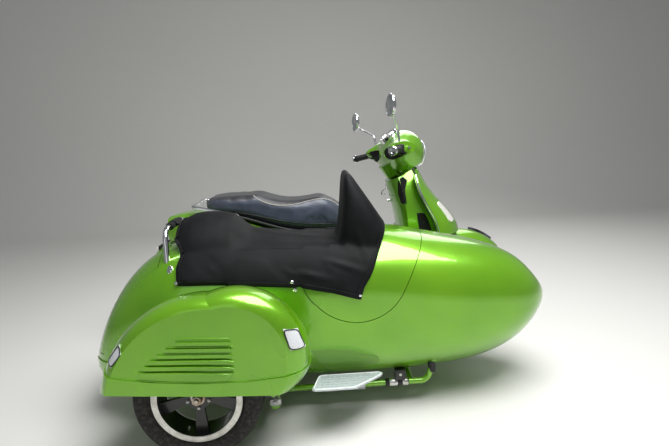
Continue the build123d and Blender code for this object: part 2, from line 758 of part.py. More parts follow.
SILENCER_RADIUS = 52.0
SILENCER_Y = SCOOTER_Y - 168.0
SILENCER_HEIGHT = 246.0
SILENCER_FRONT_BACK = 1150.0
SILENCER_LENGTH = 400.0
with BuildPart() as silencer:
    with BuildSketch(across(behind(SILENCER_FRONT_BACK), SILENCER_Y, SILENCER_HEIGHT)):
        Ellipse(SILENCER_RADIUS, SILENCER_RADIUS + 12)
    with BuildSketch(across(behind(SILENCER_FRONT_BACK + SILENCER_LENGTH), SILENCER_Y, SILENCER_HEIGHT + 20)):
        Ellipse(SILENCER_RADIUS - 12, SILENCER_RADIUS)
    loft()
    add(
        tube_along(
            [
                (behind(SILENCER_FRONT_BACK + 20), SILENCER_Y, SILENCER_HEIGHT),
                (behind(1000), SILENCER_Y, SILENCER_HEIGHT),
                (behind(1000), SCOOTER_Y - BLOCK_HALF - SEAT_GAP, SILENCER_HEIGHT),
            ],
            34,
            16,
        )
    )
finished["silencer"] = silencer.part

# Springs with dampers: rings round a rod
COIL_PITCH = 16.0
SHOCK_RADIUS = 22.0
SHOCK_END = 42.0


def make_shock(foot, head):
    """Spring and damper between two points, its coils drawn as rings."""
    run = Vector(*head) - Vector(*foot)
    frame = Plane(origin=foot, z_dir=run.normalized())
    coils = int((run.length - 2 * SHOCK_END) / COIL_PITCH)
    with BuildPart() as shock:
        with BuildSketch(frame):
            Circle(0.5 * SHOCK_RADIUS)
        extrude(amount=run.length)
        for place in (8, run.length - SHOCK_END):
            with BuildSketch(frame.offset(place)):
                Circle(0.8 * SHOCK_RADIUS)
            extrude(amount=SHOCK_END - 8)
        for index in range(coils):
            with BuildSketch(frame.offset(SHOCK_END + (index + 0.5) * COIL_PITCH)):
                Circle(SHOCK_RADIUS)
            extrude(amount=0.5 * COIL_PITCH)
    return shock.part


SHOCK_Y = CASE_INNER + SHOCK_RADIUS + 2
SHOCK_FOOT_BACK = 1330.0
SHOCK_FOOT_HEIGHT = 309.5
SHOCK_HEAD_HEIGHT = 505.0
with BuildPart() as rear_shocks:
    for hand, foot_height in ((1, SHOCK_FOOT_HEIGHT + 12), (-1, AXLE_HEIGHT + 26 + 14)):
        add(
            make_shock(
                (behind(SHOCK_FOOT_BACK), SCOOTER_Y + hand * SHOCK_Y, foot_height),
                (behind(SHOCK_FOOT_BACK - 10), SCOOTER_Y + hand * SHOCK_Y, SHOCK_HEAD_HEIGHT),
            )
        )
finished["rear_shocks"] = rear_shocks.part

# Steering: fork and link in one, with its spring
FORK_SIDE = 87.0
LINK_BACK = 70.0
LINK_DROP = 30.0
LINK_WIDTH = 52.0
FORK_TOP = 930.0
SHOULDER_HEIGHT = 486.0
with BuildPart() as front_fork:
    add(
        tube_along(
            [
                (steer_x(FORK_TOP), SCOOTER_Y, FORK_TOP),
                (steer_x(SHOULDER_HEIGHT), SCOOTER_Y, SHOULDER_HEIGHT),
                (behind(155), SCOOTER_Y + FORK_SIDE, 440),
                (behind(LINK_BACK), SCOOTER_Y + FORK_SIDE, AXLE_HEIGHT - LINK_DROP),
            ],
            40,
            STEM_RADIUS,
        )
    )
    with BuildSketch(side(SCOOTER_Y + FORK_SIDE + STEM_RADIUS)):
        with Locations((behind(LINK_BACK), AXLE_HEIGHT - LINK_DROP)):
            Circle(LINK_WIDTH / 2)
        with Locations((FRONT_AXLE_X, AXLE_HEIGHT)):
            Circle(LINK_WIDTH / 2)
        make_hull()
    extrude(amount=2 * STEM_RADIUS)
    with BuildSketch(side(SCOOTER_Y + FORK_SIDE)):
        with Locations((FRONT_AXLE_X, AXLE_HEIGHT)):
            Circle(AXLE_RADIUS)
    extrude(amount=FORK_SIDE + HUB_WIDTH / 2 + 8)
finished["front_fork"] = turned(front_fork.part)
finished["front_shock"] = turned(
    make_shock(
        (behind(-6), SCOOTER_Y + FORK_SIDE, AXLE_HEIGHT + LINK_WIDTH / 2 + 10),
        (behind(92), SCOOTER_Y + FORK_SIDE, 480),
    )
)

# Front mudguard over the wheel, with a chrome crest
FENDER_RADIUS = 338.0
FENDER_HALF = 118.0
FENDER_WALL = 5.0
FENDER_SKIRT = 212.0
FENDER_SHOULDER = 278.0
FENDER_FRONT = 46.0
FENDER_REAR = 60.0
FRONT_AXLE_LINE = Axis((FRONT_AXLE_X, SCOOTER_Y, AXLE_HEIGHT), (0, 1, 0))


def over_wheel(section, front, rear):
    """Ring segment over the front wheel, between angles ahead of and behind the top."""
    swept = revolve(section, FRONT_AXLE_LINE, revolution_arc=front + rear, mode=Mode.PRIVATE)
    return swept.rotate(FRONT_AXLE_LINE, -rear)


with BuildSketch(across(FRONT_AXLE_X, SCOOTER_Y, AXLE_HEIGHT)) as fender_section:
    for wall, skirt, mode in ((0, FENDER_SKIRT, Mode.ADD), (FENDER_WALL, FENDER_SKIRT - 10, Mode.SUBTRACT)):
        with BuildLine():
            Polyline(
                (-FENDER_HALF + wall, FENDER_SHOULDER),
                (-FENDER_HALF + wall, skirt),
                (FENDER_HALF - wall, skirt),
                (FENDER_HALF - wall, FENDER_SHOULDER),
            )
            ThreePointArc(
                (FENDER_HALF - wall, FENDER_SHOULDER),
                (0, FENDER_RADIUS - wall),
                (-FENDER_HALF + wall, FENDER_SHOULDER),
            )
        make_face(mode=mode)
with BuildPart() as front_fender:
    add(over_wheel(fender_section.sketch, FENDER_FRONT, FENDER_REAR))
    with BuildSketch(along_steering(SHOULDER_HEIGHT)):
        Circle(STEM_RADIUS + SEAT_GAP)
    extrude(amount=150, mode=Mode.SUBTRACT)
finished["front_fender"] = turned(front_fender.part)

CREST_HEIGHT = 14.0
CREST_HALF = 4.0
CREST_FRONT = 41.0
CREST_START = 14.0
with BuildSketch(across(FRONT_AXLE_X, SCOOTER_Y, AXLE_HEIGHT)) as crest_section:
    with Locations((0, FENDER_RADIUS + SEAT_GAP + CREST_HEIGHT / 2)):
        Rectangle(2 * CREST_HALF, CREST_HEIGHT)
finished["fender_crest"] = turned(over_wheel(crest_section.sketch, CREST_FRONT, -CREST_START))

# Headset: ovals across the handlebar, joined to a collar square to the steering axis
HEADSET_SECTIONS = [
    # half span, back, height, half length, half height
    (0.0, 312.0, 1030.0, 118.0, 130.0),
    (80.0, 318.0, 1032.0, 108.0, 118.0),
    (160.0, 365.0, 1045.0, 80.0, 62.0),
    (240.0, 388.0, 1045.0, 60.0, 36.0),
]
COLLAR_FORWARD = 46.0
COLLAR_HALF = 60.0
COLLAR_LENGTH = 84.0
NECK_RISE = 80.0
HEADLAMP_RADIUS = 72.0
HEADLAMP_HEIGHT = 1030.0
HEADLAMP_SEAT_BACK = 226.0
HEADLAMP_FACE_BACK = 198.0
HEADLAMP_DOME = 16.0
DIAL_RADIUS = 54.0
DIAL_TILT = 52.0
DIAL_BACK = 382.0
DIAL_HEIGHT = 1126.0
dial_plane = Plane(
    origin=(behind(DIAL_BACK), SCOOTER_Y, DIAL_HEIGHT),
    x_dir=(0, 1, 0),
    z_dir=(-math.cos(math.radians(DIAL_TILT)), 0, math.sin(math.radians(DIAL_TILT))),
)


def headset_shell(grow=0.0):
    """Headset without its lamp and dial seats."""
    spans = [(-span, *rest) for span, *rest in reversed(HEADSET_SECTIONS[1:])] + HEADSET_SECTIONS
    with BuildPart() as shell:
        for span, back, height, half_length, half_height in spans:
            with BuildSketch(side(SCOOTER_Y - span)):
                with Locations((behind(back), height)):
                    Ellipse(half_length + grow, half_height + grow)
        loft()
    return shell.part


with BuildPart() as below_headset:
    with BuildSketch(along_steering(COLLAR_HEIGHT).offset(MOVING_GAP - 200)):
        Rectangle(700, 700)
    extrude(amount=200)
with BuildPart() as headset:
    add(headset_shell())
    for rise, spread in ((0, 0), (NECK_RISE, 14)):
        with BuildSketch(along_steering(COLLAR_HEIGHT).offset(MOVING_GAP + rise)):
            with Locations((0, -COLLAR_FORWARD - 0.2 * spread)):
                Ellipse(COLLAR_HALF + 2 * spread, COLLAR_LENGTH + spread)
    loft()
    with BuildSketch(along_steering(COLLAR_HEIGHT)):
        Circle(STEM_RADIUS + SEAT_GAP)
    extrude(amount=70, mode=Mode.SUBTRACT)
    add(below_headset.part, mode=Mode.SUBTRACT)
    with BuildSketch(across(behind(HEADLAMP_SEAT_BACK), SCOOTER_Y, HEADLAMP_HEIGHT)):
        Circle(HEADLAMP_RADIUS + SEAT_GAP)
    extrude(amount=100, mode=Mode.SUBTRACT)
    with BuildSketch(dial_plane.offset(-16)):
        Circle(DIAL_RADIUS + SEAT_GAP)
    extrude(amount=100, mode=Mode.SUBTRACT)
finished["headset"] = turned(headset.part)

lens_ball = (HEADLAMP_RADIUS**2 + HEADLAMP_DOME**2) / (2 * HEADLAMP_DOME)
with BuildPart() as headlamp:
    with BuildSketch(across(behind(HEADLAMP_SEAT_BACK) + SEAT_GAP, SCOOTER_Y, HEADLAMP_HEIGHT)):
        Circle(HEADLAMP_RADIUS)
    extrude(amount=HEADLAMP_SEAT_BACK - HEADLAMP_FACE_BACK + HEADLAMP_DOME)
    with Locations((behind(HEADLAMP_FACE_BACK - HEADLAMP_DOME) - lens_ball, SCOOTER_Y, HEADLAMP_HEIGHT)):
        Sphere(lens_ball, mode=Mode.INTERSECT)
finished["headlamp"] = turned(headlamp.part)
with BuildPart() as instrument:
    with BuildSketch(dial_plane.offset(-16 + SEAT_GAP)):
        Circle(DIAL_RADIUS)
    extrude(amount=28)
finished["instrument"] = turned(instrument.part)

# Grips, brake levers and mirrors, each made for both hands
GRIP_RADIUS = 17.0
BAR_END_RADIUS = 20.0
LEVER_RADIUS = 6.0
MIRROR_RADIUS = 58.0
MIRROR_DEPTH = 16.0
STEM_BAR = 5.5
GRIP_INNER = (404.0, 236.0, 1044.0)
GRIP_OUTER = (490.0, 350.0, 1026.0)
LEVER_ROUTE = [
    # back, half span, height
    (352.0, 226.0, 1048.0),
    (372.0, 262.0, 1050.0),
    (398.0, 340.0, 1040.0),
]
MIRROR_ROUTE = [
    (396.0, 196.0, 1070.0),
    (406.0, 206.0, 1150.0),
    (476.0, 322.0, 1222.0),
]
MIRROR_CENTRE = (488.0, 330.0, 1252.0)


def on_bar(point, hand):
    """Place of a back, half span and height on the left or right half of the bar."""
    return (behind(point[0]), SCOOTER_Y + hand * point[1], point[2])


with BuildPart() as grips:
    for hand in (1, -1):
        inner = Vector(*on_bar(GRIP_INNER, hand))
        outer = Vector(*on_bar(GRIP_OUTER, hand))
        grip_plane = Plane(origin=inner, z_dir=(outer - inner).normalized())
        with BuildSketch(grip_plane):
            Circle(GRIP_RADIUS)
        extrude(amount=(outer - inner).length)
        with BuildSketch(grip_plane.offset((outer - inner).length - 14)):
            Circle(BAR_END_RADIUS)
        extrude(amount=14)
    add(headset_shell(SEAT_GAP), mode=Mode.SUBTRACT)
finished["grips"] = turned(grips.part)
with BuildPart() as brake_levers:
    for hand in (1, -1):
        add(tube_along([on_bar(point, hand) for point in LEVER_ROUTE], 30, LEVER_RADIUS))
    add(headset_shell(SEAT_GAP), mode=Mode.SUBTRACT)
finished["brake_levers"] = turned(brake_levers.part)
with BuildPart() as mirrors:
    for hand in (1, -1):
        add(tube_along([on_bar(point, hand) for point in MIRROR_ROUTE], 26, STEM_BAR))
        with BuildSketch(across(behind(MIRROR_CENTRE[0]), SCOOTER_Y + hand * MIRROR_CENTRE[1], MIRROR_CENTRE[2])):
            Circle(MIRROR_RADIUS)
        extrude(amount=MIRROR_DEPTH, taper=28)
    add(headset_shell(SEAT_GAP), mode=Mode.SUBTRACT)
finished["mirrors"] = turned(mirrors.part)

# Sidecar body: one loft, hollow, split into tub, entry panel and boot lid
TUB_WALL = 8.0
TUB_SECTIONS = [
    # ahead, half width, low, high, corner share
    (-502.0, 124.0, 190.0, 296.0, 0.45),
    (-446.0, 190.0, 160.0, 432.0, 0.45),
    (-334.0, 242.0, 136.0, 602.0, 0.42),
    (-150.0, 278.0, 114.0, 722.0, 0.42),
    (280.0, 290.0, 110.0, 756.0, 0.42),
    (730.0, 284.0, 110.0, 746.0, 0.42),
    (1000.0, 262.0, 118.0, 694.0, 0.44),
    (1240.0, 212.0, 162.0, 630.0, 0.47),
    (1374.0, 150.0, 240.0, 552.0, 0.49),
    (1442.0, 85.0, 320.0, 474.0, 0.495),
    (1466.0, 46.0, 354.0, 440.0, 0.495),
    (1474.0, 20.0, 378.0, 416.0, 0.495),
]
TUB_FLOOR = 112.0
SKIRT_LOW = 186.0
SKIRT_TOP = 266.0
SKIRT_PROUD = 7.0
SKIRT_FRONT = -120.0
CAVITY_FRONT = 1430.0
BULKHEAD_AHEAD = -118.0
BULKHEAD_WALL = 12.0
COCKPIT_REAR = -80.0
COCKPIT_FRONT = 680.0
COCKPIT_HALF = 196.0
COCKPIT_CORNER = 110.0
LID_FRONT = -190.0
LID_HALF = 186.0
LID_LOW = 300.0
LID_HINGE_AHEAD = -199.0
LID_HINGE_HEIGHT = 707.4
LEAF_REACH = 34.0
LEAF_RISE = 15.0
LEAF_FALL = 28.0


def tub_loft(grow=0.0):
    """Outer form of the sidecar body, flat under its floor."""
    rows = [(ahead(forward), half, low, high, share) for forward, half, low, high, share in TUB_SECTIONS]
    with BuildPart() as body:
        add(oval_loft(rows, SIDECAR_Y, grow))
        with BuildSketch(level(TUB_FLOOR - grow)):
            with Locations((ahead(460), SIDECAR_Y)):
                Rectangle(2400, 900)
        extrude(amount=-100, mode=Mode.SUBTRACT)
    return body.part


with BuildPart() as cavity:
    add(tub_loft(-TUB_WALL))
    for place, depth in (
        (TUB_SECTIONS[0][0] + TUB_WALL / 2, TUB_WALL),
        (BULKHEAD_AHEAD, BULKHEAD_WALL),
        (CAVITY_FRONT + 50, 100),
    ):
        with Locations((ahead(place), SIDECAR_Y, TUB_FLOOR)):
            Box(depth, 1400, 1400, mode=Mode.SUBTRACT)
with BuildPart() as tail_skirt:
    add(tub_loft(SKIRT_PROUD))
    with Locations((ahead(SKIRT_FRONT - 300), SIDECAR_Y, (SKIRT_LOW + SKIRT_TOP) / 2)):
        Box(600, 900, SKIRT_TOP - SKIRT_LOW, mode=Mode.INTERSECT)
with BuildPart() as tub_shell:
    add(tub_loft())
    add(tail_skirt.part)
    add(cavity.part, mode=Mode.SUBTRACT)

ENTRY_SEAM = [
    # ahead, height, from the rear top round the foot to the front top
    (392.0, 620.0),
    (402.0, 552.0),
    (446.0, 490.0),
    (541.0, 424.0),
    (606.0, 411.0),
    (692.0, 427.0),
    (786.0, 510.0),
    (840.0, 606.0),
    (912.0, 720.0),
]


def entry_prism(grow):
    """Block inside the entry panel's seam, on the right half of the body."""
    with BuildPart() as block:
        with BuildSketch(side(SIDECAR_Y)):
            with BuildLine():
                rear_top, rear_low, toe_rear, foot_rear, foot, foot_front, front_low, front_mid, front_top = [
                    (ahead(forward), height) for forward, height in ENTRY_SEAM
                ]
                ThreePointArc(rear_top, rear_low, toe_rear)
                ThreePointArc(toe_rear, foot_rear, foot)
                ThreePointArc(foot, foot_front, front_low)
                ThreePointArc(front_low, front_mid, front_top)
                Polyline(front_top, (front_top[0], 900), (rear_top[0], 900), rear_top)
            make_face()
            if grow:
                offset(amount=grow)
        extrude(amount=500)
    return block.part


with BuildPart() as cockpit_cut:
    with BuildSketch(level(560)):
        with Locations((ahead((COCKPIT_REAR + COCKPIT_FRONT) / 2), SIDECAR_Y)):
            RectangleRounded(COCKPIT_FRONT - COCKPIT_REAR, 2 * COCKPIT_HALF, COCKPIT_CORNER)
    extrude(amount=400)


def lid_block(grow):
    """Block that cuts the boot lid out of the tail."""
    with BuildPart() as block:
        with BuildSketch(level(LID_LOW - grow)):
            with Locations((ahead(LID_FRONT - 300) + grow / 2, SIDECAR_Y)):
                Rectangle(600 + grow, 2 * (LID_HALF + grow))
        extrude(amount=700)
    return block.part


with BuildPart() as sidecar_tub:
    add(tub_shell.part)
    add(cockpit_cut.part, mode=Mode.SUBTRACT)
    add(entry_prism(PANEL_GAP), mode=Mode.SUBTRACT)
    add(lid_block(PANEL_GAP), mode=Mode.SUBTRACT)
    add(
        hinge_leaves(
            ahead(LID_HINGE_AHEAD),
            SIDECAR_Y,
            LID_HINGE_HEIGHT,
            [
                (ahead(LID_HINGE_AHEAD), LID_HINGE_HEIGHT + BARREL_RADIUS),
                (ahead(LID_HINGE_AHEAD + LEAF_REACH), LID_HINGE_HEIGHT + LEAF_RISE),
                (ahead(LID_HINGE_AHEAD + LEAF_REACH), LID_HINGE_HEIGHT + LEAF_RISE - 2 * BARREL_RADIUS),
                (ahead(LID_HINGE_AHEAD), LID_HINGE_HEIGHT),
            ],
        )
    )
finished["sidecar_tub"] = sidecar_tub.part
with BuildPart() as entry_panel:
    add(tub_shell.part)
    add(entry_prism(0), mode=Mode.INTERSECT)
    add(cockpit_cut.part, mode=Mode.SUBTRACT)
finished["entry_panel"] = entry_panel.part
with BuildPart() as boot_lid:
    add(tub_shell.part)
    add(lid_block(0), mode=Mode.INTERSECT)
    add(
        hinge_barrel(
            ahead(LID_HINGE_AHEAD),
            SIDECAR_Y,
            LID_HINGE_HEIGHT,
            [
                (ahead(LID_HINGE_AHEAD), LID_HINGE_HEIGHT + 3),
                (ahead(LID_HINGE_AHEAD - LEAF_REACH), LID_HINGE_HEIGHT - LEAF_FALL + 7),
                (ahead(LID_HINGE_AHEAD - LEAF_REACH), LID_HINGE_HEIGHT - LEAF_FALL),
                (ahead(LID_HINGE_AHEAD), LID_HINGE_HEIGHT - 7),
            ],
        )
    )
finished["boot_lid"] = boot_lid.part

# Buttoned cover over the cockpit, raised by the seat back and the windscreen under it
COVER_THICKNESS = 4.0
COVER_SECTIONS = [
    # ahead, half width, high
    (-144.0, 128.0, 774.0),
    (-104.0, 176.0, 822.0),
    (-20.0, 196.0, 842.0),
    (108.0, 206.0, 816.0),
    (224.0, 212.0, 800.0),
    (389.0, 216.0, 776.0),
    (560.0, 214.0, 758.0),
    (700.0, 190.0, 750.0),
]
COVER_LOW = 600.0
COVER_SIDE = 690.0
SCREEN_SECTIONS = [
    # height, rear ahead, front ahead, half width
    (700.0, 540.0, 790.0, 205.0),
    (860.0, 570.0, 690.0, 190.0),
    (990.0, 580.0, 606.0, 130.0),
]
COVER_OUTLINE = [
    # ahead, height, from the rear hem round to the front top
    (-98.0, 597.0),
    (46.0, 592.0),
    (387.0, 568.0),
    (623.0, 504.0),
    (684.0, 611.0),
    (738.0, 731.0),
    (812.0, 860.0),
    (812.0, 1100.0),
    (-128.0, 1100.0),
    (-128.0, 748.0),
    (-88.0, 700.0),
    (-104.0, 655.0),
]
with BuildPart() as cover_rise:
    for forward, half, high in COVER_SECTIONS:
        with BuildSketch(across(ahead(forward), SIDECAR_Y)):
            with BuildLine():
                ThreePointArc((-half, COVER_SIDE), (0, high), (half, COVER_SIDE))
                Polyline((half, COVER_SIDE), (half, COVER_LOW), (-half, COVER_LOW), (-half, COVER_SIDE))
            make_face()
    loft()
with BuildPart() as screen_rise:
    for height, rear, front, half in SCREEN_SECTIONS:
        with BuildSketch(level(height)):
            with Locations((ahead((rear + front) / 2), SIDECAR_Y)):
                RectangleRounded(front - rear, 2 * half, 0.45 * (front - rear))
    loft()
with BuildPart() as tonneau_cover:
    add(tub_loft(COVER_THICKNESS))
    add(cover_rise.part)
    add(screen_rise.part)
    add(
        outline_prism(
            [(ahead(forward), height) for forward, height in COVER_OUTLINE], SIDECAR_Y + 400, SIDECAR_Y - 400
        ),
        mode=Mode.INTERSECT,
    )
    add(tub_loft(SEAT_GAP), mode=Mode.SUBTRACT)
finished["tonneau_cover"] = tonneau_cover.part

# Hoop behind the cockpit with its sleeve and strap
HOOP_RADIUS = 11.0
HOOP_AHEAD = -158.0
HOOP_HALF = 150.0
HOOP_TOP = 802.0
HOOP_BEND = 60.0
SLEEVE_RADIUS = 17.0
SLEEVE_HALF = 84.0
STRAP_HALF = 40.0
STRAP_THICKNESS = 12.0
with BuildPart() as grab_hoop:
    add(
        tube_along(
            [
                (ahead(HOOP_AHEAD + 8), SIDECAR_Y - HOOP_HALF - 34, 640),
                (ahead(HOOP_AHEAD), SIDECAR_Y - HOOP_HALF, HOOP_TOP),
                (ahead(HOOP_AHEAD), SIDECAR_Y + HOOP_HALF, HOOP_TOP),
                (ahead(HOOP_AHEAD + 8), SIDECAR_Y + HOOP_HALF + 34, 640),
            ],
            HOOP_BEND,
            HOOP_RADIUS,
        )
    )
    add(tub_loft(SEAT_GAP), mode=Mode.SUBTRACT)
finished["grab_hoop"] = grab_hoop.part
with BuildPart() as hoop_strap:
    with BuildSketch(side(SIDECAR_Y + SLEEVE_HALF)):
        with Locations((ahead(HOOP_AHEAD), HOOP_TOP)):
            Circle(SLEEVE_RADIUS)
    extrude(amount=2 * SLEEVE_HALF)
    add(
        outline_prism(
            [
                (ahead(HOOP_AHEAD), HOOP_TOP + 15),
                (ahead(HOOP_AHEAD + 60), HOOP_TOP - 12),
                (ahead(HOOP_AHEAD + 60), HOOP_TOP - 12 - STRAP_THICKNESS),
                (ahead(HOOP_AHEAD), HOOP_TOP + 1),
            ],
            SIDECAR_Y + STRAP_HALF,
            SIDECAR_Y - STRAP_HALF,
        )
    )
    with BuildSketch(side(SIDECAR_Y + SLEEVE_HALF)):
        with Locations((ahead(HOOP_AHEAD), HOOP_TOP)):
            Circle(HOOP_RADIUS + SEAT_GAP)
    extrude(amount=2 * SLEEVE_HALF, mode=Mode.SUBTRACT)
    add(cover_rise.part, mode=Mode.SUBTRACT)
finished["hoop_strap"] = hoop_strap.part

# Sidecar mudguard: lofted outwards from the body, with a foot band and louvre ribs
GUARD_WALL = 6.0
GUARD_LOW = 268.0
GUARD_SECTIONS = [
    # outboard of the wheel's centre, rear, crest, front, crest height
    (-200.0, -322.0, 60.0, 410.0, 536.0),
    (20.0, -328.0, 62.0, 412.0, 624.0),
    (82.0, -316.0, 74.0, 386.0, 616.0),
    (108.0, -292.0, 95.0, 331.0, 592.0),
]
BAND_TOP = [
    # ahead, height of the band's upper ridge
    (-420.0, 400.0),
    (-270.0, 371.0),
    (-131.0, 346.0),
    (29.0, 331.0),
    (198.0, 327.0),
    (320.0, 336.0),
    (440.0, 350.0),
]
FOOT_LINE = [
    # ahead, height of the lower edge
    (-420.0, 322.0),
    (-328.0, 312.0),
    (60.0, 282.0),
    (345.0, 268.0),
]
BAND_PROUD = 6.0
RIB_HEIGHT = 11.0
RIB_PROUD = 8.0
RIB_TILT = -3.0
RIB_PITCH = 21.5
RIB_LOW = 368.0
RIB_FRONT = 150.0
RIB_LENGTHS = [312.0, 301.0, 281.0, 253.0, 222.0, 186.0]


def guard_loft(grow=0.0, reach=0.0, drop=0.0):
    """Outer form of the sidecar mudguard, lengthened towards the body by reach and down by drop."""
    with BuildPart() as guard:
        for index, (outboard, rear, crest, front, top) in enumerate(GUARD_SECTIONS):
            rise = top + grow - GUARD_LOW
            rear_end = rear - grow
            front_end = front + grow
            rear_run = crest - rear_end
            front_run = front_end - crest
            shift = -reach if index == 0 else grow if index == len(GUARD_SECTIONS) - 1 else 0
            with BuildSketch(side(SIDECAR_WHEEL_Y - outboard - shift)):
                with BuildLine():
                    heel = (ahead(rear_end), GUARD_LOW)
                    summit = (ahead(crest), top + grow)
                    nose = (ahead(front_end), GUARD_LOW + 0.35 * rise)
                    toe = (ahead(front_end - 0.19 * front_run), GUARD_LOW)
                    ThreePointArc(heel, (ahead(rear_end + 0.25 * rear_run), GUARD_LOW + 0.66 * rise), summit)
                    ThreePointArc(summit, (ahead(front_end - 0.24 * front_run), GUARD_LOW + 0.85 * rise), nose)
                    ThreePointArc(nose, (ahead(front_end - 0.04 * front_run), GUARD_LOW + 0.14 * rise), toe)
                    if drop:
                        Polyline(toe, (toe[0], GUARD_LOW - drop), (heel[0], GUARD_LOW - drop), heel)
                    else:
                        Line(toe, heel)
                make_face()
        loft()
    return guard.part


with BuildPart() as foot_band:
    add(guard_loft(BAND_PROUD))
    add(
        outline_prism(
            [(ahead(forward), height) for forward, height in BAND_TOP] + [(ahead(440), 200), (ahead(-420), 200)],
            SIDECAR_WHEEL_Y + 300,
            SIDECAR_WHEEL_Y - 300,
        ),
        mode=Mode.INTERSECT,
    )
with BuildPart() as sidecar_fender:
    add(guard_loft())
    add(foot_band.part)
    for index, length in enumerate(RIB_LENGTHS):
        rib_place = (ahead(RIB_FRONT - length / 2), RIB_LOW + index * RIB_PITCH)
        with BuildSketch(side(SIDECAR_WHEEL_Y - GUARD_SECTIONS[-1][0] + GUARD_WALL / 2)):
            with Locations(rib_place):
                SlotOverall(length, RIB_HEIGHT, rotation=RIB_TILT)
        extrude(amount=GUARD_WALL / 2 + RIB_PROUD)
    add(guard_loft(-GUARD_WALL, 20, 60), mode=Mode.SUBTRACT)
    add(
        outline_prism(
            [(ahead(forward), height) for forward, height in FOOT_LINE] + [(ahead(345), 200), (ahead(-420), 200)],
            SIDECAR_WHEEL_Y + 300,
            SIDECAR_WHEEL_Y - 300,
        ),
        mode=Mode.SUBTRACT,
    )
    add(tub_loft(SEAT_GAP), mode=Mode.SUBTRACT)
finished["sidecar_fender"] = sidecar_fender.part

# Marker lamps on the mudguard's shoulders
GUARD_LAMP_PROUD = 4.0
GUARD_LAMPS = [
    # corners as ahead, height
    [(329.0, 506.0), (377.0, 493.0), (402.0, 423.0), (349.0, 430.0)],
    [(-228.0, 484.0), (-220.0, 454.0), (-262.0, 405.0), (-278.0, 425.0)],
]
with BuildPart() as guard_lamps:
    for corners in GUARD_LAMPS:
        add(outline_prism([(ahead(forward), height) for forward, height in corners], SIDECAR_WHEEL_Y - 30, SIDECAR_WHEEL_Y - 200))
    add(guard_loft(GUARD_LAMP_PROUD), mode=Mode.INTERSECT)
    add(guard_loft(SEAT_GAP), mode=Mode.SUBTRACT)
finished["guard_lamps"] = guard_lamps.part

# Chassis under the sidecar, its swing arm and spring
CHASSIS_TUBE = 13.0
CHASSIS_HEIGHT = TUB_FLOOR - SEAT_GAP - CHASSIS_TUBE
CHASSIS_RIGHT = 200.0
CHASSIS_LEFT = 190.0
CHASSIS_REAR = 180.0
CHASSIS_FRONT = 860.0
PIVOT_AHEAD = 260.0
PIVOT_HEIGHT = 171.0
PIVOT_RADIUS = 9.0
ARM_OUT = 100.0
SWING_WIDTH = 28.0
SWING_HEIGHT = 46.0
LUG_WALL = 12.0
chassis_right_y = SIDECAR_Y - CHASSIS_RIGHT
chassis_left_y = SIDECAR_Y + CHASSIS_LEFT
arm_y = SIDECAR_WHEEL_Y + ARM_OUT
arm_inner_y = arm_y + SWING_WIDTH / 2
with BuildPart() as chassis_frame:
    add(
        tube_along(
            [
                (ahead(CHASSIS_FRONT + 70), chassis_right_y, 210),
                (ahead(CHASSIS_FRONT + 40), chassis_right_y, CHASSIS_HEIGHT),
                (ahead(CHASSIS_REAR), chassis_right_y, CHASSIS_HEIGHT),
                (ahead(CHASSIS_REAR), chassis_left_y, CHASSIS_HEIGHT),
                (ahead(CHASSIS_FRONT + 40), chassis_left_y, CHASSIS_HEIGHT),
                (ahead(CHASSIS_FRONT + 70), chassis_left_y, 210),
            ],
            40,
            CHASSIS_TUBE,
        )
    )
    for forward, right_end in ((PIVOT_AHEAD, arm_inner_y + SEAT_GAP), (CHASSIS_FRONT - 30, chassis_right_y)):
        add(
            tube_along(
                [(ahead(forward), chassis_left_y, CHASSIS_HEIGHT), (ahead(forward), right_end, CHASSIS_HEIGHT)],
                0,
                CHASSIS_TUBE,
            )
        )
    add(
        outline_prism(
            [
                (ahead(PIVOT_AHEAD - 16), CHASSIS_HEIGHT - 8),
                (ahead(PIVOT_AHEAD + 16), CHASSIS_HEIGHT - 8),
                (ahead(PIVOT_AHEAD + 22), PIVOT_HEIGHT + 10),
                (ahead(PIVOT_AHEAD - 22), PIVOT_HEIGHT + 10),
            ],
            arm_inner_y + SEAT_GAP + LUG_WALL,
            arm_inner_y + SEAT_GAP,
        )
    )
    with BuildSketch(side(arm_inner_y + SEAT_GAP + LUG_WALL)):
        with Locations((ahead(PIVOT_AHEAD), PIVOT_HEIGHT)):
            Circle(PIVOT_RADIUS)
    extrude(amount=LUG_WALL + SWING_WIDTH + 14)
    add(tub_loft(SEAT_GAP), mode=Mode.SUBTRACT)
finished["chassis_frame"] = chassis_frame.part

NUT_RADIUS = 19.0
NUT_LENGTH = 26.0
with BuildPart() as swing_arm:
    with BuildSketch(side(arm_inner_y)):
        with Locations((ahead(PIVOT_AHEAD), PIVOT_HEIGHT), (SIDECAR_X, AXLE_HEIGHT)):
            Circle(SWING_HEIGHT / 2)
        make_hull()
        with Locations((ahead(PIVOT_AHEAD), PIVOT_HEIGHT)):
            Circle(PIVOT_RADIUS + RUNNING_FIT, mode=Mode.SUBTRACT)
    extrude(amount=SWING_WIDTH)
    with BuildSketch(side(arm_y)):
        with Locations((SIDECAR_X, AXLE_HEIGHT)):
            Circle(AXLE_RADIUS)
    extrude(amount=ARM_OUT + HUB_WIDTH / 2 + 12)
    with BuildSketch(side(SIDECAR_WHEEL_Y - HUB_WIDTH / 2 - MOVING_GAP / 4)):
        with Locations((SIDECAR_X, AXLE_HEIGHT)):
            RegularPolygon(NUT_RADIUS, 6)
    extrude(amount=NUT_LENGTH)
finished["swing_arm"] = swing_arm.part

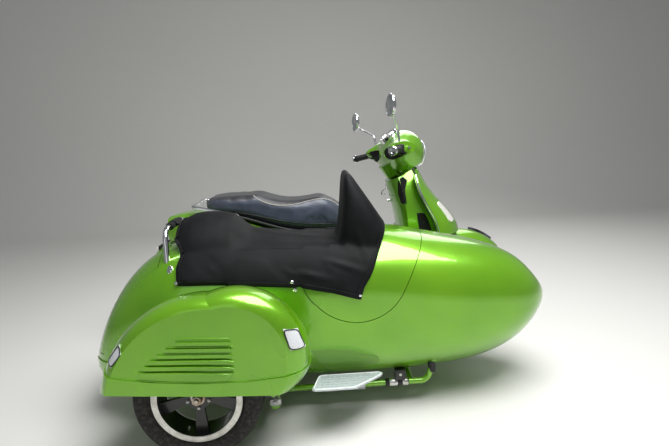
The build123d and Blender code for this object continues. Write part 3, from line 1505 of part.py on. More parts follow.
with BuildPart() as sidecar_shock:
    add(make_shock((ahead(40), arm_y, AXLE_HEIGHT + 33), (ahead(70), arm_y, 480)))
    with BuildSketch(side(SIDECAR_Y)):
        with Locations((ahead(70), 470)):
            Circle(12)
    extrude(amount=SIDECAR_Y - arm_y)
    add(tub_loft(SEAT_GAP), mode=Mode.SUBTRACT)
finished["sidecar_shock"] = sidecar_shock.part

# Struts that tie the sidecar to the scooter's rails, with a clamp at each end
STRUT_RADIUS = 14.0
CLAMP_LENGTH = 46.0
STRUT_ROUTES = [
    # sidecar end ahead, scooter end back
    (750.0, 480.0),
    (430.0, 560.0),
    (320.0, 800.0),
]
scooter_rail_y = SCOOTER_Y - RAIL_SPREAD
with BuildPart() as struts:
    for forward, back in STRUT_ROUTES:
        add(
            tube_along(
                [(ahead(forward), chassis_left_y, CHASSIS_HEIGHT), (behind(back), scooter_rail_y, RAIL_HEIGHT)],
                0,
                STRUT_RADIUS,
            )
        )
        for x, y, z in (
            (ahead(forward), chassis_left_y, CHASSIS_HEIGHT),
            (behind(back), scooter_rail_y, RAIL_HEIGHT),
        ):
            with BuildSketch(across(x - CLAMP_LENGTH / 2, y, z)):
                Circle(CLAMP_RADIUS)
            extrude(amount=CLAMP_LENGTH)
    for y, z, radius in (
        (chassis_left_y, CHASSIS_HEIGHT, CHASSIS_TUBE),
        (scooter_rail_y, RAIL_HEIGHT, RAIL_TUBE),
    ):
        with BuildSketch(across(ahead(0), y, z)):
            Circle(radius + SEAT_GAP)
        extrude(amount=1400, mode=Mode.SUBTRACT)
    add(tub_loft(SEAT_GAP), mode=Mode.SUBTRACT)
finished["struts"] = struts.part

# Step plate on two brackets clamped round the right-hand chassis tube
STEP_THICKNESS = 5.0
STEP_HEIGHT = 176.0
STEP_INNER = 262.0
STEP_OUTER = 424.0
STEP_TILT = 8.0
STEP_OUTLINE = [
    # ahead, distance out from the inner edge
    (440.0, 0.0),
    (705.0, 0.0),
    (690.0, 40.0),
    (576.0, 165.0),
    (408.0, 165.0),
]
BRACKETS = (470.0, 600.0)
step_plane = Plane(
    origin=(0, SIDECAR_Y - STEP_INNER, STEP_HEIGHT),
    x_dir=(1, 0, 0),
    z_dir=(0, math.sin(math.radians(STEP_TILT)), math.cos(math.radians(STEP_TILT))),
)
with BuildPart() as step_plate:
    with BuildSketch(step_plane):
        with BuildLine():
            Polyline(*[(ahead(forward), -out) for forward, out in STEP_OUTLINE], close=True)
        make_face()
        fillet(vertices(), 14)
    extrude(amount=STEP_THICKNESS)
    for forward in BRACKETS:
        with BuildSketch(across(ahead(forward), 0)):
            with BuildLine():
                Polyline(
                    (chassis_right_y, CHASSIS_HEIGHT - 10),
                    (chassis_right_y, CHASSIS_HEIGHT + 12),
                    (SIDECAR_Y - STEP_INNER - 30, STEP_HEIGHT + 5),
                    (SIDECAR_Y - STEP_INNER - 110, STEP_HEIGHT + 16),
                    (SIDECAR_Y - STEP_INNER - 30, STEP_HEIGHT - 34),
                    close=True,
                )
            make_face()
        extrude(amount=24)
        with BuildSketch(across(ahead(forward) - 6, chassis_right_y, CHASSIS_HEIGHT)):
            Circle(CLAMP_RADIUS)
        extrude(amount=36)
    with BuildSketch(across(ahead(0), chassis_right_y, CHASSIS_HEIGHT)):
        Circle(CHASSIS_TUBE + SEAT_GAP)
    extrude(amount=1400, mode=Mode.SUBTRACT)
    add(tub_loft(SEAT_GAP), mode=Mode.SUBTRACT)
finished["step_plate"] = step_plate.part

os.makedirs("parts", exist_ok=True)
for name, piece in finished.items():
    piece.label = name
    export_step(piece, f"parts/{name}.step")
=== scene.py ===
"""Scooter with a bullet-nosed sidecar: finishes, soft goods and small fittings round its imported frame."""

import json
import logging
import math
from dataclasses import dataclass, field
from enum import Enum
from typing import Dict, Iterable, List, Optional, Sequence, Tuple

import bmesh
import bpy
from mathutils import Matrix, Vector
from mathutils.bvhtree import BVHTree

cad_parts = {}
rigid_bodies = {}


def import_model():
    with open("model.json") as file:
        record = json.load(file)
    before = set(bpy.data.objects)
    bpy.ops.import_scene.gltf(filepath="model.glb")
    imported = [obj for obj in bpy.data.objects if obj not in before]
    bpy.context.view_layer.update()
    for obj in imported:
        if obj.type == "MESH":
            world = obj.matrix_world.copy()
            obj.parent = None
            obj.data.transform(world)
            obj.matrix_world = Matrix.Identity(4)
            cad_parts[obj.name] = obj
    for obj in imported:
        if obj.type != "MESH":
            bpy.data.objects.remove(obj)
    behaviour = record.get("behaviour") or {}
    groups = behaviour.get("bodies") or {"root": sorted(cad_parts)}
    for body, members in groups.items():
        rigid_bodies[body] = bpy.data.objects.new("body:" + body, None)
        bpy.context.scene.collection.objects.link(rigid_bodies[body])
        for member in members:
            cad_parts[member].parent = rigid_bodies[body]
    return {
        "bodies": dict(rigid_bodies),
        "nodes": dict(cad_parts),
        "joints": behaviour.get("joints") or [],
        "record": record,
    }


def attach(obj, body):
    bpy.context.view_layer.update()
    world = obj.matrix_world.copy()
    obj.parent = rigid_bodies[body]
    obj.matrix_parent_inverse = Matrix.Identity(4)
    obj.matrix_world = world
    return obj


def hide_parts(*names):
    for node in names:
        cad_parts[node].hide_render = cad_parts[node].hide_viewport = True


LOG = logging.getLogger("outfit")
MM = 0.001
Built, Vert, Edge, Face = bmesh.types.BMesh, bmesh.types.BMVert, bmesh.types.BMEdge, bmesh.types.BMFace
Tree, Node, Socket = bpy.types.NodeTree, bpy.types.Node, bpy.types.NodeSocket
Piece = bpy.types.Object
Point = Tuple[float, float, float]
Pair = Tuple[float, float]
Profile = Tuple[Pair, ...]

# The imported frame, filled by main
FRAME: Dict[str, Dict[str, Piece]] = {}

FORWARD, BACKWARD = Vector((1, 0, 0)), Vector((-1, 0, 0))
LEFTWARD, RIGHTWARD = Vector((0, 1, 0)), Vector((0, -1, 0))
UPWARD, DOWNWARD = Vector((0, 0, 1)), Vector((0, 0, -1))

# Where the two vehicles stand, in metres
FRONT_AXLE_X = 0.771
SCOOTER_Y = 0.420
SIDECAR_X = -0.509
SIDECAR_Y = -0.230
SIDECAR_WHEEL_Y = -0.680
REAR_AXLE_X = -0.599
AXLE_HEIGHT = 0.2365
STEER_LEFT = math.radians(12.0)
RAKE = math.radians(26.5)
TRAIL = 0.083
# Height over every solid, where rays down start
OVERHEAD = 1.3
# Distance at which two vertices are one
WELD = 1e-6
# Pixels between the points of a film's rim, and how far its inmost ring goes to the middle
FILM_PIXELS = 1.6
FILM_DEPTH = 0.97


def behind(back: float) -> float:
    """Length position of a scooter station, in metres, from millimetres behind the front axle."""
    return FRONT_AXLE_X - back * MM


def ahead(forward: float) -> float:
    """Length position of a sidecar station, in metres, from millimetres ahead of the sidecar axle."""
    return SIDECAR_X + forward * MM


def across(point: Vector, middle: float) -> Vector:
    """The point mirrored to the other side of a middle plane."""
    return Vector((point.x, 2 * middle - point.y, point.z))


def steered(point: Vector, turn: float = STEER_LEFT) -> Vector:
    """A point of the straight-ahead steering, turned to the left as the outfit is parked."""
    axis = Vector((-math.sin(RAKE), 0.0, math.cos(RAKE)))
    foot = Vector((FRONT_AXLE_X + TRAIL, SCOOTER_Y, 0.0))
    return foot + Matrix.Rotation(turn, 3, axis) @ (point - foot)


def other_end(point: Vector) -> Vector:
    """A parked point of the handlebar, mirrored to the bar's other half."""
    return steered(across(steered(point, -STEER_LEFT), SCOOTER_Y))


def clamped(share: float) -> float:
    """The share, kept within nil and one."""
    return max(0.0, min(1.0, share))


def value_at(table: Profile, place: float) -> float:
    """Value at a place of a table of places and values.

    Args:
        table: Rows in order of place.
        place: Where it is read.

    Returns:
        The value, straight between rows.
    """
    for (low, start), (high, end) in zip(table, table[1:]):
        if place <= high:
            return start + (end - start) * max(0.0, (place - low) / (high - low))
    return table[-1][1]


def facing(direction: Vector, side: str = "Y") -> Matrix:
    """Turn that lays the Z axis along a direction."""
    return direction.to_track_quat("Z", side).to_matrix().to_4x4()


def frame_of(x_axis: Vector, y_axis: Vector, z_axis: Vector) -> Matrix:
    """Turn that lays the three axes along three directions."""
    return Matrix((x_axis, y_axis, z_axis)).transposed().to_4x4()


def linear(code: str) -> Tuple[float, float, float, float]:
    """Linear colour of a six-digit sRGB code.

    Args:
        code: Six hexadecimal digits.

    Returns:
        Red, green and blue, linear, and full alpha.
    """
    channels = [int(code[i : i + 2], 16) / 255 for i in (0, 2, 4)]
    red, green, blue = (c / 12.92 if c <= 0.04045 else ((c + 0.055) / 1.055) ** 2.4 for c in channels)
    return red, green, blue, 1.0


def add_node(
    tree: Tree, kind: str, links: Optional[Dict[object, Socket]] = None, **values: object,
) -> Node:
    """Adds one shader node.

    Args:
        tree: Node tree that takes it.
        kind: Node type, without its ShaderNode prefix.
        links: Input name or number to the output socket that feeds it.
        values: Attributes, or inputs with underscores for spaces.

    Returns:
        The new node.
    """
    node = tree.nodes.new("ShaderNode" + kind)
    for key, value in values.items():
        socket = node.inputs.get(key.replace("_", " "))
        if socket is not None and not hasattr(node, key):
            socket.default_value = value
        else:
            setattr(node, key, value)
    for key, source in (links or {}).items():
        tree.links.new(source, node.inputs[key])
    return node


@dataclass(frozen=True)
class Finish:
    """Base of every finish: a principled shader with a name and its even values."""

    name: str
    colour: str
    roughness: float = 0.5
    metallic: float = 0.0
    coat: float = 0.0
    coat_roughness: float = 0.05
    sheen: float = 0.0
    specular: float = 0.5

    def build(self) -> bpy.types.Material:
        """The finish's material, made once.

        Returns:
            The material.
        """
        known = bpy.data.materials.get(self.name)
        if known is not None:
            return known
        material = bpy.data.materials.new(self.name)
        material.use_nodes = True
        tree = material.node_tree
        shader = tree.nodes["Principled BSDF"]
        shader.inputs["Base Color"].default_value = linear(self.colour)
        shader.inputs["Roughness"].default_value = self.roughness
        shader.inputs["Metallic"].default_value = self.metallic
        shader.inputs["Coat Weight"].default_value = self.coat
        shader.inputs["Coat Roughness"].default_value = self.coat_roughness
        shader.inputs["Sheen Weight"].default_value = self.sheen
        shader.inputs["Specular IOR Level"].default_value = self.specular
        self.detail(tree, shader)
        return material

    def detail(self, tree: Tree, shader: Node) -> None:
        """Pattern nodes of the finish, which each kind of finish adds in its own way.

        Args:
            tree: Nodes of the finish.
            shader: Its shader.
        """

    def place(self, tree: Tree) -> Socket:
        """Object coordinates, in metres."""
        return add_node(tree, "TexCoord").outputs["Object"]

    def noise(self, tree: Tree, size: float, detail: float = 2.0, rough: float = 0.5) -> Socket:
        """Noise over object coordinates.

        Args:
            tree: Nodes of the finish.
            size: Size of its features, in millimetres.
            detail: Octaves.
            rough: Share of the fine ones.

        Returns:
            The field, 0..1.
        """
        node = add_node(
            tree,
            "TexNoise",
            {"Vector": self.place(tree)},
            Scale=1 / (size * MM),
            Detail=detail,
            Roughness=rough,
        )
        return node.outputs["Fac"]

    def blend(
        self, tree: Tree, value: Socket, low: str, high: str, start: float = 0.3, stop: float = 0.7,
    ) -> Socket:
        """Colour ramp between two colours over a value.

        Args:
            tree: Node tree that takes it.
            value: Field that drives the ramp.
            low: Colour code at start.
            high: Colour code at stop.
            start: Value where the ramp begins.
            stop: Value where it ends.

        Returns:
            The colour.
        """
        ramp = add_node(tree, "ValToRGB", {"Fac": value})
        ramp.color_ramp.elements[0].position = start
        ramp.color_ramp.elements[0].color = linear(low)
        ramp.color_ramp.elements[1].position = stop
        ramp.color_ramp.elements[1].color = linear(high)
        return ramp.outputs["Color"]

    def spread(self, tree: Tree, value: Socket, low: float, high: float) -> Socket:
        """The value, mapped from 0..1 to low..high."""
        return add_node(tree, "MapRange", {"Value": value}, To_Min=low, To_Max=high).outputs["Result"]

    def feed(self, tree: Tree, shader: Node, name: str, source: Socket) -> None:
        """Links a pattern to one of the shader's inputs."""
        tree.links.new(source, shader.inputs[name])

    def dull(self, tree: Tree, shader: Node, value: Socket, gloss: Pair) -> None:
        """Varies the roughness with a value, from the finish's own plus low to its own plus high."""
        low, high = (self.roughness + change for change in gloss)
        self.feed(tree, shader, "Roughness", self.spread(tree, value, low, high))

    def bump(self, tree: Tree, shader: Node, height: Socket, depth: float) -> None:
        """Adds bump to the shader.

        Args:
            tree: Nodes of the finish.
            shader: Its shader.
            height: Height field, 0..1.
            depth: What one stands for, in millimetres.
        """
        node = add_node(tree, "Bump", {"Height": height}, Distance=depth * MM, Strength=1.0)
        previous = shader.inputs["Normal"].links
        if previous:
            tree.links.new(previous[0].from_socket, node.inputs["Normal"])
        tree.links.new(node.outputs["Normal"], shader.inputs["Normal"])


@dataclass(frozen=True)
class PearlPaint(Finish):
    """Pearl enamel under clear coat, with fine flake, slow tone drift and road dust low down."""

    light: str = "7cbb1a"
    drift: float = 260.0
    flake: float = 0.9
    flake_share: float = 0.10
    dust: str = "8d8a72"
    dust_patch: float = 120.0
    dust_share: float = 0.12
    dust_heights: Pair = (0.40, 0.12)
    gloss_patch: float = 240.0
    gloss: Pair = (-0.03, 0.04)
    peel: float = 9.0
    peel_depth: float = 0.006

    def detail(self, tree: Tree, shader: Node) -> None:
        """Flake sparkle, tone drift, orange peel and dust."""
        flake = add_node(tree, "TexVoronoi", {"Vector": self.place(tree)}, Scale=1 / (self.flake * MM))
        tone = self.blend(tree, self.noise(tree, self.drift, 2.0), self.colour, self.light, 0.3, 0.75)
        sparkle = self.blend(tree, flake.outputs["Distance"], "f4ffd0", "ffffff", 0.0, 0.35)
        colours = {"Color1": tone, "Color2": sparkle}
        body = add_node(tree, "MixRGB", colours, blend_type="MULTIPLY", Fac=self.flake_share)
        height = add_node(tree, "SeparateXYZ", {"Vector": self.place(tree)}).outputs["Z"]
        clean, dirty = self.dust_heights
        low = add_node(
            tree, "MapRange", {"Value": height}, From_Min=clean, From_Max=dirty, To_Max=self.dust_share
        )
        factors = {0: low.outputs["Result"], 1: self.noise(tree, self.dust_patch, 1.0)}
        patchy = add_node(tree, "Math", factors, operation="MULTIPLY")
        layers = {"Fac": patchy.outputs[0], "Color1": body.outputs[0]}
        dusty = add_node(tree, "MixRGB", layers, Color2=linear(self.dust))
        self.feed(tree, shader, "Base Color", dusty.outputs[0])
        self.dull(tree, shader, self.noise(tree, self.gloss_patch, 0.0), self.gloss)
        self.bump(tree, shader, self.noise(tree, self.peel, 1.0), self.peel_depth)


@dataclass(frozen=True)
class Bright(Finish):
    """Plated or polished metal with faint smears."""

    smear: float = 0.08
    smear_size: float = 18.0
    tone_size: float = 45.0

    def detail(self, tree: Tree, shader: Node) -> None:
        """Smears in the gloss and a little tone."""
        self.dull(tree, shader, self.noise(tree, self.smear_size, 5.0, 0.6), (0.0, self.smear))
        tone = self.blend(tree, self.noise(tree, self.tone_size, 3.0), self.colour, "ffffff", 0.35, 1.9)
        self.feed(tree, shader, "Base Color", tone)


@dataclass(frozen=True)
class Turned(Finish):
    """Turned metal with fine rings about an axle along Y."""

    centre: Point = (0.0, 0.0, 0.0)
    pitch: float = 0.8
    ring_depth: float = 0.02
    gloss: Pair = (-0.06, 0.14)
    wear_size: float = 24.0

    def detail(self, tree: Tree, shader: Node) -> None:
        """Ring marks and wear."""
        moved = add_node(tree, "VectorMath", {0: self.place(tree)}, operation="SUBTRACT")
        moved.inputs[1].default_value = self.centre
        flat = add_node(tree, "VectorMath", {0: moved.outputs[0]}, operation="MULTIPLY")
        flat.inputs[1].default_value = (1.0, 0.0, 1.0)
        radius = add_node(tree, "VectorMath", {0: flat.outputs[0]}, operation="LENGTH").outputs["Value"]
        scale = 1 / (self.pitch * MM)
        rings = add_node(tree, "TexNoise", {"W": radius}, noise_dimensions="1D", Scale=scale, Detail=3.0)
        self.dull(tree, shader, rings.outputs["Fac"], self.gloss)
        tone = self.blend(tree, self.noise(tree, self.wear_size, 4.0), self.colour, "f2f1ec", 0.2, 1.1)
        self.feed(tree, shader, "Base Color", tone)
        self.bump(tree, shader, rings.outputs["Fac"], self.ring_depth)


@dataclass(frozen=True)
class Grained(Finish):
    """Moulded plastic, vinyl or rubber with a pebbled grain and lighter worn places."""

    worn: str = "2c2c2c"
    grain: float = 1.2
    depth: float = 0.10
    patch: float = 40.0
    gloss: Pair = (-0.08, 0.10)

    def detail(self, tree: Tree, shader: Node) -> None:
        """Grain cells and worn patches."""
        scale = 1 / (self.grain * MM)
        cells = add_node(tree, "TexVoronoi", {"Vector": self.place(tree)}, Scale=scale, feature="SMOOTH_F1")
        wear = self.noise(tree, self.patch, 5.0, 0.6)
        self.feed(tree, shader, "Base Color", self.blend(tree, wear, self.colour, self.worn, 0.42, 0.85))
        self.dull(tree, shader, wear, self.gloss)
        self.bump(tree, shader, cells.outputs["Distance"], self.depth)


@dataclass(frozen=True)
class TyreRubber(Finish):
    """Tyre rubber, dusty on the tread and dark in its grooves."""

    dust: str = "5a554c"
    dust_size: float = 14.0
    grain: float = 1.6
    depth: float = 0.08

    def detail(self, tree: Tree, shader: Node) -> None:
        """Dust, scuffs and fine moulding grain."""
        scuffs = self.noise(tree, self.dust_size, 6.0, 0.65)
        self.feed(tree, shader, "Base Color", self.blend(tree, scuffs, self.colour, self.dust, 0.46, 0.95))
        self.bump(tree, shader, self.noise(tree, self.grain, 2.0), self.depth)


@dataclass(frozen=True)
class CoverCloth(Finish):
    """Coated cover cloth with a plain weave that follows its UV map, slightly faded on top."""

    pitch: float = 1.1
    wave_length: float = 0.314  # of the wave node at scale one, in metres
    weave_depth: float = 0.10
    faded: str = "151618"
    fade_size: float = 120.0
    lint: str = "77757a"
    lint_size: float = 5.0
    lint_share: float = 0.02
    ripple: float = 22.0
    ripple_depth: float = 0.5

    def detail(self, tree: Tree, shader: Node) -> None:
        """Weave, lint and fading."""
        chart = add_node(tree, "UVMap").outputs["UV"]
        scale = self.wave_length / (self.pitch * MM) / 2
        threads = {}
        for index, direction in enumerate(("X", "Y")):
            wave = add_node(tree, "TexWave", {"Vector": chart}, bands_direction=direction, Scale=scale)
            threads[index] = wave.outputs["Fac"]
        weave = add_node(tree, "Math", threads, operation="MULTIPLY").outputs[0]
        lint = self.spread(tree, self.noise(tree, self.lint_size, 6.0, 0.7), 0.0, self.lint_share)
        tone = self.blend(tree, self.noise(tree, self.fade_size, 3.0), self.colour, self.faded, 0.35, 0.75)
        specked = add_node(tree, "MixRGB", {"Fac": lint, "Color1": tone}, Color2=linear(self.lint))
        self.feed(tree, shader, "Base Color", specked.outputs[0])
        self.bump(tree, shader, weave, self.weave_depth)
        self.bump(tree, shader, self.noise(tree, self.ripple, 3.0), self.ripple_depth)


@dataclass(frozen=True)
class Lens(Finish):
    """Moulded lens over a reflector, its prisms drawn as a fine grid."""

    prism: float = 6.0
    prism_depth: float = 0.6
    deep: str = "9aa0a6"

    def detail(self, tree: Tree, shader: Node) -> None:
        """Prisms and the darker reflector between them."""
        grid = {"distance": "CHEBYCHEV", "Randomness": 0.0, "Scale": 1 / (self.prism * MM)}
        cells = add_node(tree, "TexVoronoi", {"Vector": self.place(tree)}, **grid).outputs["Distance"]
        self.feed(tree, shader, "Base Color", self.blend(tree, cells, self.colour, self.deep, 0.25, 0.75))
        self.bump(tree, shader, cells, self.prism_depth)


@dataclass(frozen=True)
class PlainCoat(Finish):
    """Even coat, such as a plate's or a film's, with faint handling marks."""

    second: str = ""
    mark_size: float = 9.0
    mark_gloss: float = 0.15

    def detail(self, tree: Tree, shader: Node) -> None:
        """Handling marks in tone and gloss."""
        marks = self.noise(tree, self.mark_size, 6.0, 0.65)
        if self.second:
            tone = self.blend(tree, marks, self.colour, self.second, 0.35, 0.8)
            self.feed(tree, shader, "Base Color", tone)
        self.dull(tree, shader, marks, (0.0, self.mark_gloss))


LIME = PearlPaint("lime_pearl_paint", "6aa911", roughness=0.28, metallic=0.45, coat=1.0, coat_roughness=0.03)
CHROME = Bright("chrome_plate", "dcdfe2", roughness=0.06, metallic=1.0)
DARK_CHROME = Bright("smoked_chrome", "5d6064", roughness=0.10, metallic=1.0)
ZINC = Bright("zinc_plate", "b9b9b2", roughness=0.26, metallic=1.0, smear=0.18)
BRONZE = Bright("bronze_nut", "8a6f4a", roughness=0.28, metallic=1.0, smear=0.2)
BLACK_WHEEL = Grained(
    "satin_black_paint", "0b0c0c", roughness=0.36, worn="1b1c1d", grain=0.5, depth=0.02, coat=0.4
)
BLACK_FRAME = Grained(
    "black_enamel", "0d0d0e", roughness=0.34, worn="232323", grain=0.6, depth=0.02, coat=0.3
)
BLACK_PLASTIC = Grained(
    "grained_black_plastic", "101011", roughness=0.52, worn="2a2a2b", grain=0.9, depth=0.08
)
SEAT_TOP = Grained(
    "black_seat_vinyl", "17181b", roughness=0.44, worn="303238", grain=1.3, depth=0.12, patch=90.0, sheen=0.15
)
SEAT_SIDE = Grained(
    "slate_seat_vinyl", "363c49", roughness=0.36, worn="515a6b", grain=1.3, depth=0.08, patch=120.0, sheen=0.2
)
PIPING = PlainCoat("pale_piping", "b9b7b0", roughness=0.45, second="8f8d86")
TYRE = TyreRubber("tyre_rubber", "191817", roughness=0.80)
CLOTH = CoverCloth("coated_cover_cloth", "040506", roughness=0.62, specular=0.15, sheen=0.01)
WEBBING = Grained(
    "black_webbing", "0a0a0b", roughness=0.75, worn="1c1c1d", grain=1.8, depth=0.35, sheen=0.05, specular=0.2
)
THREAD = PlainCoat("dull_thread", "35353a", roughness=0.7, second="1a1a1c")
CAST_ALLOY = Grained(
    "cast_alloy", "6d6f70", roughness=0.48, worn="8b8d8e", grain=2.2, depth=0.14, metallic=0.8
)
SPRING = Grained("spring_enamel", "1a1b1c", roughness=0.35, worn="3a3b3c", grain=0.6, depth=0.02, coat=0.2)
STEEL = Bright("ground_steel", "a6a7a6", roughness=0.3, metallic=1.0, smear=0.2)
CLEAR_LENS = Lens("clear_lamp_lens", "eef0f2", roughness=0.12, coat=1.0, prism=5.0, deep="a9b0b8")
HEAD_LENS = Lens("headlamp_glass", "d7dde0", roughness=0.08, coat=1.0, prism=9.0, deep="6f777d")
RED_LENS = Lens("red_lamp_lens", "a01010", roughness=0.12, coat=1.0, prism=5.0, deep="4a0505")
AMBER_LENS = Lens("silvered_turn_lens", "e3e6e8", roughness=0.12, coat=1.0, prism=4.0, deep="b79a6a")
PLATE = PlainCoat("white_plate_enamel", "e6e5de", roughness=0.35, second="d8d6cc")
STEP_ALLOY = PlainCoat("brushed_step_alloy", "d3d8da", roughness=0.34, metallic=0.35, second="a9b1b5")
STEP_FILM = PlainCoat("worn_grip_film", "b4bdbf", roughness=0.42, second="8d9897")
STONE_FILM = PearlPaint(
    "clear_stone_film", "6aa124", roughness=0.42, metallic=0.15, light="7fb33a", coat=0.5, coat_roughness=0.2
)
DIAL_FACE = PlainCoat("dial_face", "dedbd0", roughness=0.4, second="cfccc0")
GLASS = Bright("mirror_silver", "87909a", roughness=0.03, metallic=1.0, smear=0.03)
FILM_EDGE = PlainCoat("film_edge", "7fa552", roughness=0.4, second="6f9446")
STEP_EDGE = PlainCoat("pale_step_border", "f1f4f4", roughness=0.38, second="b9c4c4")
# Painted shade: flat black laid over openings in place of the shade inside them
PAINTED_SHADE_BLACK = PlainCoat("painted_shade_black", "050505", roughness=0.8)
RUBBER_MAT = Grained("ribbed_rubber", "161616", roughness=0.7, worn="2e2d2b", grain=1.5, depth=0.15)

# The CAD nodes that each finish covers
NODE_FINISHES: Dict[Finish, str] = {
    LIME: (
        "boot_lid chassis_frame entry_panel front_fender glovebox_door headset inner_shield "
        "left_cowl leg_shield rear_body right_cowl sidecar_fender sidecar_tub"
    ),
    CHROME: "brake_levers grab_hoop grab_rail instrument mirrors",
    CAST_ALLOY: "engine_unit silencer",
    DARK_CHROME: "fender_crest",
    BLACK_PLASTIC: "floor_pan grips rear_guard saddle_pan",
    STEEL: "front_brake_disc",
    BLACK_FRAME: "front_fork scooter_frame struts swing_arm",
    BLACK_WHEEL: "front_rim rear_rim sidecar_rim",
    SPRING: "front_shock rear_shocks sidecar_shock",
    AMBER_LENS: "front_turn_lamps",
    TYRE: "front_tyre rear_tyre sidecar_tyre",
    CLEAR_LENS: "guard_lamps",
    HEAD_LENS: "headlamp",
    WEBBING: "hoop_strap",
    PLATE: "number_plate",
    SEAT_TOP: "saddle_cushion",
    STEP_ALLOY: "step_plate",
    RED_LENS: "tail_lamp",
    CLOTH: "tonneau_cover",
}


def dress_frame(frame: Dict[str, object]) -> None:
    """Gives every CAD node its finish.

    Args:
        frame: The loaded frame.
    """
    finishes = {name: finish for finish, names in NODE_FINISHES.items() for name in names.split()}
    for name, node in frame["nodes"].items():
        material = finishes[name].build()
        for place in node.material_slots:
            place.link = "OBJECT"
            place.material = material
        LOG.info("node %s: %s", name, material.name)


def node_tree_of(*names: str) -> BVHTree:
    """Ray target made of CAD nodes.

    Args:
        names: The nodes.

    Returns:
        The ray target.
    """
    built = bmesh.new()
    for name in names:
        built.from_mesh(FRAME["nodes"][name].data)
    tree = BVHTree.FromBMesh(built)
    built.free()
    return tree


def stand(name: str, data: bpy.types.ID) -> Piece:
    """New object of the scene that shows this data."""
    piece = bpy.data.objects.new(name, data)
    bpy.context.scene.collection.objects.link(piece)
    return piece


def mesh_of(built: Built, name: str) -> bpy.types.Mesh:
    """Mesh of a finished bmesh, which is freed.

    Args:
        built: The bmesh.
        name: Mesh name.

    Returns:
        The mesh.
    """
    mesh = bpy.data.meshes.new(name)
    built.to_mesh(mesh)
    built.free()
    return mesh


def top_at(target: BVHTree, x: float, y: float) -> Optional[Vector]:
    """Highest point of a surface over a place of the floor, or None beside it."""
    point, _, _, _ = target.ray_cast(Vector((x, y, OVERHEAD)), DOWNWARD)
    return point


def settle(
    built: Built, name: str, body: str, finishes: Sequence[Finish],
    smooth: bool = True, outward: bool = True, sharp: float = 40.0,
) -> Piece:
    """Makes an object of a bmesh and hangs it on a CAD body.

    Args:
        built: The mesh, freed here.
        name: Object name.
        body: CAD body it rides on.
        finishes: Finishes by material index.
        smooth: Whether faces are shaded smooth.
        outward: Whether normals are recalculated.
        sharp: Angle over which an edge stays sharp, in degrees.

    Returns:
        The object.
    """
    if outward:
        bmesh.ops.recalc_face_normals(built, faces=built.faces[:])
    for face in built.faces:
        face.smooth = smooth
    if smooth:
        for edge in built.edges:
            if len(edge.link_faces) == 2 and edge.calc_face_angle(0.0) > math.radians(sharp):
                edge.smooth = False
    mesh = mesh_of(built, name)
    for finish in finishes:
        mesh.materials.append(finish.build())
    piece = stand(name, mesh)
    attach(piece, body)
    LOG.info("piece %s on %s: %d faces", name, body, len(mesh.polygons))
    return piece


def soften(built: Built, edges: List[Edge], width: float, segments: int) -> List[Face]:
    """Rounds edges over a width in metres and returns the new faces."""
    rounding = {"offset": width, "segments": segments, "profile": 0.5, "affect": "EDGES", "material": -1}
    return bmesh.ops.bevel(built, geom=edges, **rounding)["faces"]


def spin_profile(
    built: Built, profile: Sequence[Pair], centre: Vector, axis: Vector, steps: int = 64,
) -> None:
    """Spins a closed or open profile about an axis.

    Args:
        built: Mesh that takes it.
        profile: Rows of distance along the axis and radius, in metres.
        centre: Point on the axis where the distance is nil.
        axis: Direction of the axis.
        steps: Copies in the full turn.
    """
    along = axis.normalized()
    out = along.orthogonal().normalized()
    before = set(built.faces)
    verts = [built.verts.new(centre + along * run + out * radius) for run, radius in profile]
    edges = [built.edges.new(pair) for pair in zip(verts, verts[1:])]
    if len(verts) > 2 and profile[0] == profile[-1]:
        bmesh.ops.remove_doubles(built, verts=[verts[0], verts[-1]], dist=WELD)
        edges = [edge for edge in built.edges if edge.is_valid and not edge.link_faces]
        verts = list({vert for edge in edges for vert in edge.verts})
    turned = {"cent": centre, "axis": along, "angle": math.tau, "steps": steps}
    bmesh.ops.spin(built, geom=verts + edges, use_merge=True, use_duplicate=False, **turned)
    fresh = {vert for face in built.faces if face not in before for vert in face.verts}
    bmesh.ops.remove_doubles(built, verts=list(fresh), dist=WELD)


def rounded_block(built: Built, place: Matrix, size: Point, bevel: float, segments: int = 2) -> None:
    """Box with bevelled edges.

    Args:
        built: Mesh that takes it.
        place: Where its centre stands and how it is turned.
        size: Full sizes, in metres.
        bevel: Bevel width, in metres.
        segments: Bevel segments.
    """
    made = bmesh.ops.create_cube(built, size=1.0)
    bmesh.ops.scale(built, vec=size, verts=made["verts"])
    edges = list({edge for vert in made["verts"] for edge in vert.link_edges})
    verts = list({vert for face in soften(built, edges, bevel, segments) for vert in face.verts})
    linked = set(verts)
    for vert in verts:
        linked.update(other for edge in vert.link_edges for other in edge.verts)
    bmesh.ops.transform(built, matrix=place, verts=list(linked))


def turned_piece(
    name: str, profile: Sequence[Pair], centre: Vector, axis: Vector, steps: int,
    finish: Finish, slot: str = "", body: str = "outfit",
) -> None:
    """Piece spun from one profile and hung on a body.

    Args:
        name, finish, body: As for settle. slot: Not used.
        profile, centre, axis, steps: As for spin_profile.
    """
    built = bmesh.new()
    spin_profile(built, profile, centre, axis, steps)
    settle(built, name, body, [finish])


# A rounded head: height and radius as shares of its own
DOME: Profile = ((-0.3, 1.0), (0.25, 1.0), (0.6, 0.86), (0.88, 0.5), (1.0, 0.0))


